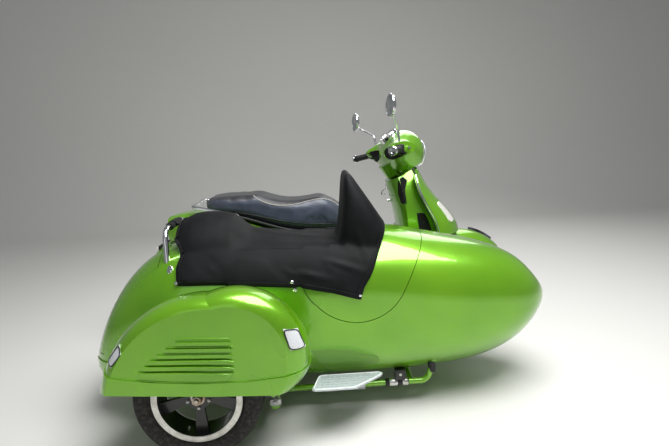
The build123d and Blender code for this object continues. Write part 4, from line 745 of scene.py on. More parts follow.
def stud(
    built: Built, place: Vector, normal: Vector, radius: float, height: float, dome: bool = False,
) -> None:
    """Six-sided bolt head, or round rivet or press stud, on a surface.

    Args:
        built: Mesh that takes it.
        place: Foot of the head.
        normal: Direction it stands out.
        radius: Head radius, in metres.
        height: Head height, in metres.
        dome: Whether it is round with a rounded top.
    """
    if dome:
        spin_profile(built, [(run * height, share * radius) for run, share in DOME], place, normal, 20)
        return
    made = bmesh.ops.create_cone(
        built, cap_ends=True, segments=6, radius1=radius, radius2=radius, depth=1.3 * height
    )
    bmesh.ops.translate(built, vec=(0, 0, 0.35 * height), verts=made["verts"])
    bmesh.ops.transform(built, matrix=Matrix.Translation(place) @ facing(normal), verts=made["verts"])
    edges = list({edge for vert in made["verts"] for edge in vert.link_edges})
    soften(built, edges, 0.12 * height, 2)


def tube(
    points: Sequence[Vector], radius: float, name: str, body: str, finish: Finish,
    cyclic: bool = False, ring: int = 4,
) -> None:
    """Round bar or cord along a smooth line.

    Args:
        points: Control points, in metres.
        radius: Bar radius, in metres.
        name, body, finish: As for settle.
        cyclic: Whether the line closes.
        ring: Resolution of the section.
    """
    curve = bpy.data.curves.new(name + "_line", "CURVE")
    curve.dimensions = "3D"
    curve.bevel_depth = radius
    curve.bevel_resolution = ring
    curve.use_fill_caps = not cyclic
    line = curve.splines.new("NURBS")
    line.points.add(len(points) - 1)
    for spot, point in zip(line.points, points):
        spot.co = (*point, 1.0)
    line.use_cyclic_u = cyclic
    line.use_endpoint_u = not cyclic
    line.order_u = min(3, len(points))
    line.resolution_u = 6
    holder = bpy.data.objects.new(name + "_line", curve)
    mesh = bpy.data.meshes.new_from_object(holder)
    bpy.data.objects.remove(holder)
    bpy.data.curves.remove(curve)
    built = bmesh.new()
    built.from_mesh(mesh)
    bpy.data.meshes.remove(mesh)
    settle(built, name, body, [finish])


def grid_of(rows: Sequence[Sequence[Vector]]) -> Tuple[Built, List[List[Vert]]]:
    """Grid laid through rows of points, all rows equally long.

    Args:
        rows: The points, in metres.

    Returns:
        The mesh, and its vertices in the same rows.
    """
    built = bmesh.new()
    made = bmesh.ops.create_grid(built, x_segments=len(rows) - 1, y_segments=len(rows[0]) - 1, size=1.0)
    verts = sorted(made["verts"], key=lambda v: (round(v.co.x, 5), round(v.co.y, 5)))
    width = len(rows[0])
    grid = [verts[start : start + width] for start in range(0, len(verts), width)]
    for line, row in zip(grid, rows):
        for vert, point in zip(line, row):
            vert.co = point
    return built, grid


def sheet_of(rows: Sequence[Sequence[Vector]], thickness: float = 0.0) -> Built:
    """Sheet through rows of points, all rows equally long.

    Args:
        rows: The points, in metres.
        thickness: Wall grown inwards, in metres; nil leaves a single skin.

    Returns:
        The mesh.
    """
    built, _ = grid_of(rows)
    bmesh.ops.remove_doubles(built, verts=built.verts[:], dist=WELD)
    if thickness:
        bmesh.ops.recalc_face_normals(built, faces=built.faces[:])
        bmesh.ops.solidify(built, geom=built.faces[:], thickness=thickness)
    return built


def along(points: Sequence[Vector], step: float) -> List[Vector]:
    """Points evenly spread along straight runs, about a step apart.

    Args:
        points: Ends of the runs.
        step: Distance wanted.

    Returns:
        The points, both ends included.
    """
    spread: List[Vector] = []
    for start, end in zip(points, points[1:]):
        count = max(1, round((end - start).length / step))
        spread += [start.lerp(end, index / count) for index in range(count)]
    return spread + [points[-1]]


def strap(
    spine: Sequence[Vector], side: Vector, width: float, thickness: float, name: str, body: str,
    finish: Finish, slot: str = "",
) -> Piece:
    """Flat strap along a line, level across its width, its edges rounded.

    Args:
        spine: Points of its middle line.
        side: Direction of its width.
        width: Full width, in metres.
        thickness: Thickness, in metres.
        name, body, finish: As for settle. slot: Not used.

    Returns:
        The object.
    """
    shares = (-0.5, -0.46, -0.25, 0.0, 0.25, 0.46, 0.5)
    rows = [[point + side * (width * share) for share in shares] for point in spine]
    return settle(sheet_of(rows, thickness), name, body, [finish], sharp=60.0)


def picture_line(points: Sequence[Pair], step: float) -> List[Vector]:
    """Columns and rows of the picture along straight runs, about a step of pixels apart."""
    return along([Vector((column, row, 0.0)) for column, row in points], step)


def on_both_sides(point: Vector, normal: Vector) -> Tuple[Tuple[Vector, Vector], ...]:
    """A place of the sidecar and its outward direction, and the same on the other side."""
    return (point, normal), (across(point, SIDECAR_Y), across(normal, 0.0))


def film(
    target: BVHTree, outline: Profile, lift: float, rings: int = 5,
) -> Tuple[List[List[Vector]], List[Vector]]:
    """Rows of a thin patch that lies on a surface, from its outline in the picture.

    Args:
        target: Surface it lies on.
        outline: Picture columns and rows round it.
        lift: Height over the surface, in metres.
        rings: Rings between the rim and the middle.

    Returns:
        The rows from the rim inwards, and the rim's points.
    """
    flat = picture_line((*outline, outline[0]), FILM_PIXELS)
    middle = sum(flat[:-1], Vector()) / (len(flat) - 1)
    rows = []
    for ring in range(rings + 1):
        share = 1.0 - FILM_DEPTH * ring / rings
        row = []
        for spot in flat:
            column, line, _ = middle + (spot - middle) * share
            point, normal = EYE.find(target, column, line)
            row.append(point + normal * lift)
        rows.append(row)
    return rows, rows[0][:-1]


def smoothed(points: Sequence[Vector], rounds: int = 2, closed: bool = True) -> List[Vector]:
    """The points, each drawn towards its neighbours a few times.

    Args:
        points: The line.
        rounds: How many times.
        closed: Whether its ends meet.

    Returns:
        The calmer line.
    """
    line = list(points)
    for _ in range(rounds):
        last = len(line) - 1
        drawn = [(line[index - 1] + line[(index + 1) % len(line)]) * 0.25 for index in range(len(line))]
        kept = () if closed else (0, last)
        line = [point if index in kept else point * 0.5 + drawn[index] for index, point in enumerate(line)]
    return line


def merged_copy(node: str) -> Built:
    """Copy of a CAD node's mesh with its loose triangles joined.

    Args:
        node: Its name.

    Returns:
        The copy.
    """
    built = bmesh.new()
    built.from_mesh(FRAME["nodes"][node].data)
    bmesh.ops.remove_doubles(built, verts=built.verts[:], dist=1e-5)
    return built


@dataclass(frozen=True)
class Eye:
    """Camera that the outfit was seen with: place, turns in degrees and focal length in pixels."""

    place: Point = (-0.044, -2.383, 1.146)
    yaw: float = 2.0
    pitch: float = 10.0
    roll: float = -2.7
    focal: float = 494.0
    width: int = 669
    height: int = 446
    reach: float = 2.6

    def axes(self) -> Tuple[Vector, Vector, Vector]:
        """Right, up and forward directions of the picture.

        Returns:
            The three directions.
        """
        yaw, pitch, roll = (math.radians(a) for a in (self.yaw, self.pitch, self.roll))
        level = math.cos(pitch)
        forward = Vector((math.sin(yaw) * level, math.cos(yaw) * level, -math.sin(pitch)))
        right = Vector((math.cos(yaw), -math.sin(yaw), 0.0))
        up = right.cross(forward)
        return (
            math.cos(roll) * right + math.sin(roll) * up,
            -math.sin(roll) * right + math.cos(roll) * up,
            forward,
        )

    def ray(self, column: float, row: float) -> Tuple[Vector, Vector]:
        """Start and direction of the sight line through a picture point.

        Args:
            column: Picture column.
            row: Picture row.

        Returns:
            The start and the direction.
        """
        right, up, forward = self.axes()
        sideways, down = column - self.width / 2, row - self.height / 2
        line = forward + right * (sideways / self.focal) - up * (down / self.focal)
        return Vector(self.place), line.normalized()

    def find(self, target: BVHTree, column: float, row: float) -> Tuple[Vector, Vector]:
        """Point and outward normal where a sight line meets a surface.

        Args:
            target: Surface to meet.
            column: Picture column.
            row: Picture row.

        Returns:
            The point and the normal; where the line misses, the nearest of both.
        """
        start, line = self.ray(column, row)
        point, normal, _, _ = target.ray_cast(start, line)
        if point is None:
            point, normal, _, _ = target.find_nearest(start + line * self.reach)
        if normal.dot(line) > 0:
            normal = -normal
        return point, normal

    def at_side(self, column: float, row: float, y: float) -> Vector:
        """Point of a sight line where it crosses an upright plane along the outfit."""
        start, line = self.ray(column, row)
        return start + line * ((y - start.y) / line.y)

    def camera(self) -> None:
        """The scene's camera at this eye."""
        right, up, forward = self.axes()
        lens = bpy.data.cameras.new("eye")
        lens.sensor_width = 36.0
        lens.lens = self.focal / self.width * lens.sensor_width
        holder = stand("eye", lens)
        holder.matrix_world = Matrix.Translation(self.place) @ frame_of(right, up, -forward)
        bpy.context.scene.camera = holder


EYE = Eye()


class Hand(Enum):
    """Side of a vehicle, by the sign of its width axis."""

    RIGHT = -1
    LEFT = 1


@dataclass
class RoadWheel:
    """Tyre with its tread, the rim's polished lip, bolts and valve."""

    name: str
    body: str
    x: float
    y: float
    steers: bool = False
    tyre_radius: float = 0.2365
    tyre_width: float = 0.120
    tread_width: float = 0.096
    bead_radius: float = 0.1655
    rim_half: float = 0.0443
    flange: float = 0.006
    lip_inner: float = 0.1415
    bolt_circle: float = 0.040
    bolts: int = 5
    steps: int = 120
    groove: float = 0.0045
    groove_pitch: int = 6
    crown_drop: float = 0.0098
    tread_rows: Tuple[float, ...] = (0.98, 0.8, 0.62, 0.5, 0.38, 0.2, 0.07)
    ring_band: Pair = (0.40, 0.50)
    outer_band: Pair = (0.50, 0.99)
    inner_band: Pair = (0.06, 0.36)
    bolt_face: float = 0.030
    bolt_radius: float = 0.0062
    bolt_height: float = 0.006
    valve_place: Pair = (0.134, math.radians(250))
    valve_profile: Profile = (
        (0, 0.0032), (0.014, 0.0032), (0.0145, 0.0042), (0.024, 0.0042), (0.0255, 0)
    )

    def turn(self, piece: Piece) -> None:
        """Turns a finished piece's mesh with the steering."""
        if self.steers:
            for vert in piece.data.vertices:
                vert.co = steered(vert.co)

    @property
    def hub(self) -> Vector:
        """Middle of the wheel."""
        return Vector((self.x, self.y, AXLE_HEIGHT))

    def tyre(self) -> None:
        """Tyre whose tread blocks stand between cut grooves."""
        half = self.tyre_width / 2
        foot = self.bead_radius
        crown = self.tyre_radius
        shoulder = self.tread_width / 2
        side = [
            (self.rim_half - 0.002, foot - 0.004),
            (self.rim_half + 0.002, foot + 0.004),
            (0.92 * half, foot + 0.012),
            (0.985 * half, foot + 0.024),
            (half, 0.5 * (foot + crown) + 0.004),
            (0.97 * half, crown - 0.022),
            (0.90 * half, crown - 0.0135),
        ]
        right = side + [
            (share * shoulder, crown - self.crown_drop * share * share) for share in self.tread_rows
        ]
        rows = [(-run, radius) for run, radius in right] + list(reversed(right))
        built = bmesh.new()
        spin_profile(built, rows, self.hub, LEFTWARD, self.steps)
        self.cut_grooves(built, self.tread_faces(built))
        piece = settle(built, f"{self.name}_tyre_rubber", self.body, [TYRE], sharp=28.0)
        self.turn(piece)
        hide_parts(f"{self.name}_tyre")

    def tread_faces(self, built: Built) -> List[Tuple[Face, float, int]]:
        """Tread faces with their distance across and their step round the tyre.

        Args:
            built: Mesh of the tyre.

        Returns:
            Face, distance and step of each.
        """
        found = []
        for face in built.faces:
            centre = face.calc_center_median() - self.hub
            radius = math.hypot(centre.x, centre.z)
            if radius > self.tyre_radius - 0.012 and abs(centre.y) < 0.5 * self.tread_width:
                turn = math.atan2(centre.z, centre.x) % math.tau
                found.append((face, centre.y, int(turn / math.tau * self.steps)))
        return found

    def is_sunk(self, place: float, step: int) -> bool:
        """Whether the tread is cut at a distance from the tyre's middle and a step round it.

        Args:
            place: Distance across, in metres.
            step: Step round the tyre.

        Returns:
            True in a groove.
        """
        share = abs(place) / (0.5 * self.tread_width)
        pitch = self.groove_pitch
        slant = int(share * pitch)
        left, right = (pitch // 2, 0) if place > 0 else (0, pitch // 2)
        if self.ring_band[0] < share < self.ring_band[1]:
            return True
        if self.outer_band[0] < share < self.outer_band[1]:
            return (step + slant + left) % pitch == 0
        return self.inner_band[0] < share < self.inner_band[1] and (step - slant + right) % pitch == 0

    def cut_grooves(self, built: Built, bands: Sequence[Tuple[Face, float, int]]) -> None:
        """Sinks slanted grooves and two rings into the tread.

        Args:
            built: Mesh of the tyre.
            bands: What tread_faces found.
        """
        sunk = [face for face, place, step in bands if self.is_sunk(place, step)]
        made = bmesh.ops.extrude_face_region(built, geom=sunk)
        moved = [item for item in made["geom"] if isinstance(item, Vert)]
        bmesh.ops.delete(built, geom=sunk, context="FACES")
        for vert in moved:
            spoke = vert.co - self.hub
            spoke.y = 0.0
            vert.co -= spoke.normalized() * self.groove

    def lip(self) -> None:
        """Polished ring round the rim's outer face, on both sides."""
        built = bmesh.new()
        outer = self.bead_radius - 0.0012
        for hand in (1, -1):
            face = self.rim_half + self.flange
            rows = [
                (hand * (face + 0.0006), self.lip_inner - 0.0005),
                (hand * (face + 0.0022), self.lip_inner + 0.004),
                (hand * (face + 0.0026), outer - 0.006),
                (hand * (face + 0.0014), outer - 0.0015),
                (hand * (face - 0.0015), outer),
                (hand * (face - 0.0030), outer - 0.003),
                (hand * (face - 0.0012), self.lip_inner + 0.002),
                (hand * (face + 0.0006), self.lip_inner - 0.0005),
            ]
            spin_profile(built, rows, self.hub, LEFTWARD, 96)
        name = f"turned_lip_{self.name}"
        finish = Turned(name, "a9a79f", roughness=0.24, metallic=1.0, centre=tuple(self.hub))
        piece = settle(built, f"{self.name}_rim_lip", self.body, [finish])
        self.turn(piece)

    def fixings(self) -> None:
        """Wheel bolts and valve on the spoked side."""
        built = bmesh.new()
        for index in range(self.bolts):
            turn = math.tau * (index + 0.5) / self.bolts + math.pi / 2
            place = (self.bolt_circle * math.cos(turn), -self.bolt_face, self.bolt_circle * math.sin(turn))
            spot = self.hub + Vector(place)
            stud(built, spot, RIGHTWARD, self.bolt_radius, self.bolt_height)
            stud(built, spot + RIGHTWARD * 0.005, RIGHTWARD, 0.0042, 0.003, dome=True)
        radius, turn = self.valve_place
        foot = self.hub + Vector((radius * math.cos(turn), -self.bolt_face, radius * math.sin(turn)))
        spin_profile(built, self.valve_profile, foot, Vector((-math.cos(turn), -0.5, -math.sin(turn))), 16)
        piece = settle(built, f"{self.name}_wheel_bolts", self.body, [ZINC])
        self.turn(piece)

    def build(self) -> None:
        """Makes the wheel's pieces."""
        self.tyre()
        self.lip()
        self.fixings()


@dataclass
class TonneauCover:
    """Cloth cover over the cockpit, stretched from the seat back over the windscreen and buttoned down."""

    rear_edge: Profile = ((597.0, -98.0), (655.0, -104.0), (700.0, -90.0), (748.0, -126.0), (900.0, -126.0))
    front_edge: Profile = ((504.0, 622.0), (611.0, 683.0), (731.0, 736.0), (860.0, 760.0))
    hem_low: Profile = (
        (-98, 597), (46, 592), (220, 583), (387, 568), (520, 538), (622, 505)
    )
    # Millimetres ahead and height of the sheet over the middle: full over the seat back, then sagging
    ridge: Profile = (
        (-130, 806), (-60, 839), (0, 843), (60, 838), (104, 826), (127, 802), (151, 779), (176, 762),
        (211, 753), (254, 746), (320, 736), (385, 726), (474, 717), (542, 711),
    )
    # Start and end of each fold in mm ahead, from the middle and up, its width and its height
    folds: Tuple[Tuple[Point, Point, float, float], ...] = (
        ((40, 226, 752), (420, 250, 690), 14, 9), ((420, 250, 690), (640, 262, 606), 14, 7),
        ((-60, 215, 752), (60, 278, 640), 15, 5), ((330, 280, 640), (600, 262, 556), 14, 6),
        ((430, 262, 676), (566, 268, 596), 12, 5), ((120, 130, 790), (500, 150, 706), 24, 5),
        ((150, 20, 780), (540, 60, 712), 26, 4), ((590, 120, 930), (652, 232, 650), 12, 4),
        ((-104, 150, 800), (-92, 250, 650), 10, 4), ((250, 250, 700), (380, 282, 600), 11, 4),
        ((500, 190, 750), (590, 226, 700), 12, 5),
    )
    # How far the folds' ends stand elsewhere on the far side
    far_start: Point = (14.0, 10.0, -8.0)
    far_end: Point = (-20.0, 4.0, 6.0)
    trough: float = 0.55
    screen_foot: float = 552.0
    slack_run: float = 30.0
    slack_height: float = 0.690
    slack_limit: float = 0.065
    coaming_height: float = 0.66
    coaming_gap: float = 0.009
    fold_gap: float = 0.007
    columns: int = 150
    rows: int = 100
    hem_half: float = 0.294
    pivot_height: float = 0.560
    top_height: float = 0.800
    thickness: float = 0.0022
    lift: float = 0.0030
    flat: Pair = (1.20, 1.30)
    chart_height: float = 0.9
    hem_steps: Profile = ((-0.0012, 0.0), (-0.0020, 0.0024), (0.0, 0.0052), (0.007, 0.0056), (0.020, 0.0046))
    seam_place: Pair = (0.0156, 0.0058)
    stitch_pitch: float = 0.0075
    stitch_length: float = 0.0055
    stitch_radius: float = 0.0007
    snaps: Profile = ((176.8, 283.3), (292.0, 282.4), (359.9, 295.0))
    spare_snap: Pair = (294.8, 290.0)
    snap_lift: float = 0.0040
    snap_radius: float = 0.0062
    snap_profile: Profile = (
        (0, 1.25), (0.0012, 1.25), (0.0018, 1.02), (0.0030, 0.98), (0.0042, 0.70), (0.0046, 0)
    )
    hull: Optional[BVHTree] = field(default=None, init=False)

    def station(self, share: float, shell: BVHTree) -> List[Vector]:
        """Points of one row, from the right hem over the top to the left hem.

        Args:
            share: Share of the way from the rear edge to the front edge.
            shell: The cover's outer form.

        Returns:
            The points.
        """
        foot = self.hem_low[0][0] + share * (self.hem_low[-1][0] - self.hem_low[0][0])
        hem = value_at(self.hem_low, foot) * MM
        start = math.atan2(hem - self.pivot_height, self.hem_half)
        right: List[Vector] = []
        half = self.rows // 2
        for index in range(half + 1):
            part = index / half
            turn = start + part * (math.pi / 2 - start)
            height = (hem + (self.top_height - hem) * clamped(part * 1.35)) / MM
            rear, front = value_at(self.rear_edge, height), value_at(self.front_edge, height)
            x = ahead(foot + clamped(part * 6.0) * (rear + share * (front - rear) - foot))
            line = Vector((0.0, -math.cos(turn), math.sin(turn)))
            origin = Vector((x, SIDECAR_Y, self.pivot_height))
            point, _, _, _ = shell.ray_cast(origin + line, -line)
            if point is None:
                point, _, _, _ = shell.find_nearest(origin + line * 0.26)
            right.append(self.sagged(Vector((x, point.y, point.z)), shell))
        return right + [across(point, SIDECAR_Y) for point in reversed(right[:-1])]

    def sagged(self, point: Vector, shell: BVHTree) -> Vector:
        """The point let down with the loose cloth between seat back and windscreen.

        Args:
            point: Place on the cover's form.
            shell: That form.

        Returns:
            Place on the loose cloth, over what is below it.
        """
        place = (point.x - SIDECAR_X) / MM
        end = self.screen_foot + self.slack_run
        top = top_at(shell, point.x, SIDECAR_Y)
        if top is None or place > end:
            return point
        loose = clamped((end - place) / self.slack_run)
        full = clamped((point.z - self.slack_height) / max(top.z - self.slack_height, 0.01))
        drop = (top.z - value_at(self.ridge, place) * MM) * loose * full
        height = point.z - min(drop, self.slack_limit)
        rest = top_at(self.hull, point.x, point.y)
        if rest is not None and rest.z > self.coaming_height:
            height = max(height, min(rest.z + self.coaming_gap, point.z))
        return Vector((point.x, point.y, height))

    def crease(self, point: Vector) -> float:
        """Height of the cloth's folds at a place, in metres.

        Args:
            point: Place on the cloth.

        Returns:
            The height, below nil in a trough.
        """
        local = Vector(((point.x - SIDECAR_X) / MM, abs(point.y - SIDECAR_Y) / MM, point.z / MM))
        far = point.y > SIDECAR_Y
        rise = 0.0
        for start, end, width, height in self.folds:
            a, b = Vector(start), Vector(end)
            if far:
                a, b = a + Vector(self.far_start), b + Vector(self.far_end)
            run = b - a
            share = clamped((local - a).dot(run) / run.length_squared)
            gap = (local - (a + run * share)).length
            fade = math.sin(math.pi * (0.12 + 0.76 * share))
            beside = math.exp(-(((gap - 1.7 * width) / width) ** 2))
            rise += height * fade * (math.exp(-((gap / width) ** 2)) - self.trough * beside)
        return rise * MM

    def cloth(self) -> Tuple[Piece, List[Tuple[Vector, Vector, Vector]], float]:
        """The cover's sheet.

        Returns:
            The sheet, its border for the hem, and its area in square metres.
        """
        shell = node_tree_of("tonneau_cover")
        self.hull = node_tree_of("sidecar_tub", "entry_panel")
        built, grid = grid_of(
            [self.station(index / self.columns, shell) for index in range(self.columns + 1)]
        )
        inner = [vert for line in grid[1:-1] for vert in line[1:-1]]
        for _ in range(6):
            bmesh.ops.smooth_vert(
                built, verts=inner, factor=0.5, use_axis_x=True, use_axis_y=True, use_axis_z=True
            )
        bmesh.ops.recalc_face_normals(built, faces=built.faces[:])
        built.normal_update()
        up = math.copysign(1.0, grid[self.columns // 2][self.rows // 2].normal.z)
        rises = [max(self.crease(vert.co), -0.5 * self.lift) + self.lift for vert in inner]
        shifts = {vert: vert.normal * up * rise for vert, rise in zip(inner, rises)}
        for vert, shift in shifts.items():
            vert.co += shift
            rest = top_at(self.hull, vert.co.x, vert.co.y)
            if rest is not None and rest.z > self.coaming_height:
                vert.co.z = max(vert.co.z, rest.z + self.fold_gap)
        self.chart(built)
        border = self.rim(grid)
        area = sum(face.calc_area() for face in built.faces)
        piece = settle(built, "cockpit_cover", "outfit", [CLOTH], sharp=80.0)
        wall = piece.modifiers.new("wall", "SOLIDIFY")
        wall.thickness = self.thickness
        wall.offset = 0.0
        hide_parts("tonneau_cover")
        LOG.info("cover cloth %.3f square metres", area)
        return piece, border, area

    def chart(self, built: Built) -> None:
        """Lays the weave's map along the cover and down both its sides.

        Args:
            built: Mesh of the sheet.
        """
        layer = built.loops.layers.uv.new("cut")
        for face in built.faces:
            for loop in face.loops:
                place = loop.vert.co
                down = abs(place.z - self.chart_height)
                loop[layer].uv = (place.x, math.copysign(down, place.y - SIDECAR_Y))

    def rim(self, grid: Sequence[Sequence[Vert]]) -> List[Tuple[Vector, Vector, Vector]]:
        """Border points with the direction inwards and the outward normal, once round.

        Args:
            grid: The sheet's vertices in rows.

        Returns:
            Point, direction and normal of each.
        """
        inwards = []
        last, end = len(grid) - 1, len(grid[0]) - 1
        walk = [(i, 0, i, 2) for i in range(last + 1)]
        walk += [(last, j, last - 2, j) for j in range(1, end + 1)]
        walk += [(i, end, i, end - 2) for i in range(last - 1, -1, -1)]
        walk += [(0, j, 2, j) for j in range(end - 1, 0, -1)]
        for i, j, k, m in walk:
            outer, inner = grid[i][j].co.copy(), grid[k][m].co
            normal = (outer - Vector((outer.x, SIDECAR_Y, self.pivot_height))).normalized()
            inwards.append((outer, (inner - outer).normalized(), normal))
        return inwards

    def hem(self, border: Sequence[Tuple[Vector, Vector, Vector]]) -> List[Piece]:
        """Turned-in hem round the border, with its stitching.

        Args:
            border: What rim gave.

        Returns:
            The hem and the stitching.
        """
        line = smoothed([outer for outer, _, _ in border], 3)
        band = []
        seam = []
        for point, (_, inward, normal) in zip(line, border):
            band.append([point + inward * run + normal * rise for run, rise in self.hem_steps])
            seam.append(point + inward * self.seam_place[0] + normal * self.seam_place[1])
        band.append(band[0])
        hem = settle(sheet_of(band, 0.0016), "cover_hem", "outfit", [CLOTH], sharp=60.0)
        built = bmesh.new()
        walk = along(seam + [seam[0]], self.stitch_pitch)
        thread = {"radius1": self.stitch_radius, "radius2": self.stitch_radius, "depth": self.stitch_length}
        for start, end in zip(walk[::2], walk[1::2]):
            made = bmesh.ops.create_cone(built, cap_ends=True, segments=4, **thread)
            place = Matrix.Translation(start) @ facing(end - start)
            bmesh.ops.transform(built, matrix=place, verts=made["verts"])
        return [hem, settle(built, "cover_stitching", "outfit", [THREAD], smooth=False)]

    def studs(self) -> Piece:
        """Press studs along both lower edges, and the spare ones left on the body.

        Returns:
            The studs.
        """
        built = bmesh.new()
        cover = node_tree_of("tonneau_cover")
        spots = [(cover, self.snap_lift, *spot) for spot in self.snaps] + [(self.hull, 0.0, *self.spare_snap)]
        rows = [(run, share * self.snap_radius) for run, share in self.snap_profile]
        for target, lift, column, row in spots:
            for place, out in on_both_sides(*EYE.find(target, column, row)):
                spin_profile(built, rows, place + out * lift, out, 20)
        return settle(built, "cover_studs", "outfit", [CHROME])

    def build(self) -> None:
        """Makes the cover and what is sewn to it."""
        piece, border, area = self.cloth()
        sewn = [*self.hem(border), self.studs()]


@dataclass
class Hoop:
    """Grip sleeve on the bar behind the cockpit, the strap from it to the cover, and the bar's feet."""

    forward: float = -158.0
    height: float = 0.802
    radius: float = 0.0165
    bar: float = 0.0115
    sleeve_half: float = 0.084
    strap_width: float = 0.074
    waist: float = 0.003
    wrap: Tuple[int, int, int] = (-150, 61, 15)
    laid: Tuple[float, ...] = (34.0, 48.0, 62.0, 74.0)
    strap_thickness: float = 0.003
    feet: Pair = (170.0, 270.0)
    foot_profile: Profile = ((-0.002, 0.013), (0.002, 0.013), (0.0036, 0.0112), (0.0040, 0.0))
    foot_stretch: float = 1.45
    foot_bolt: Pair = (0.0046, 0.004)

    @property
    def centre(self) -> Vector:
        """Middle of the bar's level run."""
        return Vector((ahead(self.forward), SIDECAR_Y, self.height))

    def sleeve(self) -> None:
        """Foam sleeve with a waist at each end."""
        half, full, thin = self.sleeve_half, self.radius, self.radius - self.waist
        rows = [(-half, self.bar), (-half, thin), (-half + 0.006, full), (-half + 0.05, full - 0.0008)]
        rows += [(-run, radius) for run, radius in reversed(rows)]
        turned_piece("hoop_sleeve", rows, self.centre, LEFTWARD, 32, WEBBING, "cover_cloth")

    def lie(self, cover: BVHTree, run: float) -> Vector:
        """Point of the strap where it lies on the cover.

        Args:
            cover: The cover's form.
            run: Millimetres ahead of the bar.

        Returns:
            The point.
        """
        x = ahead(self.forward + run)
        limit = self.height + 0.004 - 0.00018 * run
        point = top_at(cover, x, SIDECAR_Y)
        height = limit if point is None else min(limit, point.z + 2 * self.strap_thickness)
        return Vector((x, SIDECAR_Y, max(height, self.height - 0.02)))

    def loop(self) -> None:
        """Wide strap wrapped round the sleeve and laid on the cover."""
        cover = node_tree_of("tonneau_cover")
        spine = []
        for degrees in range(*self.wrap):
            turn = math.radians(degrees)
            out = Vector((math.sin(turn), 0.0, math.cos(turn)))
            spine.append(self.centre + out * (self.radius + self.strap_thickness))
        spine += [self.lie(cover, run) for run in self.laid]
        sizes = {"side": LEFTWARD, "width": self.strap_width, "thickness": self.strap_thickness}
        line = smoothed(spine, 1, False)
        piece = strap(
            line, name="hoop_strap_band", body="outfit", finish=WEBBING, slot="cover_cloth", **sizes
        )
        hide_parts("hoop_strap")

    def footing(self) -> None:
        """Oval plates with a bolt where the bar meets the body."""
        built = bmesh.new()
        for place, out in on_both_sides(*EYE.find(node_tree_of("sidecar_tub"), *self.feet)):
            before = set(built.verts)
            spin_profile(built, self.foot_profile, place, out, 28)
            for vert in built.verts:
                if vert not in before:
                    vert.co.z = place.z + (vert.co.z - place.z) * self.foot_stretch
            stud(built, place + out * 0.0036, out, *self.foot_bolt)
        settle(built, "hoop_foot_plates", "outfit", [CHROME])

    def build(self) -> None:
        """Makes the hoop's pieces."""
        self.sleeve()
        self.loop()
        self.footing()


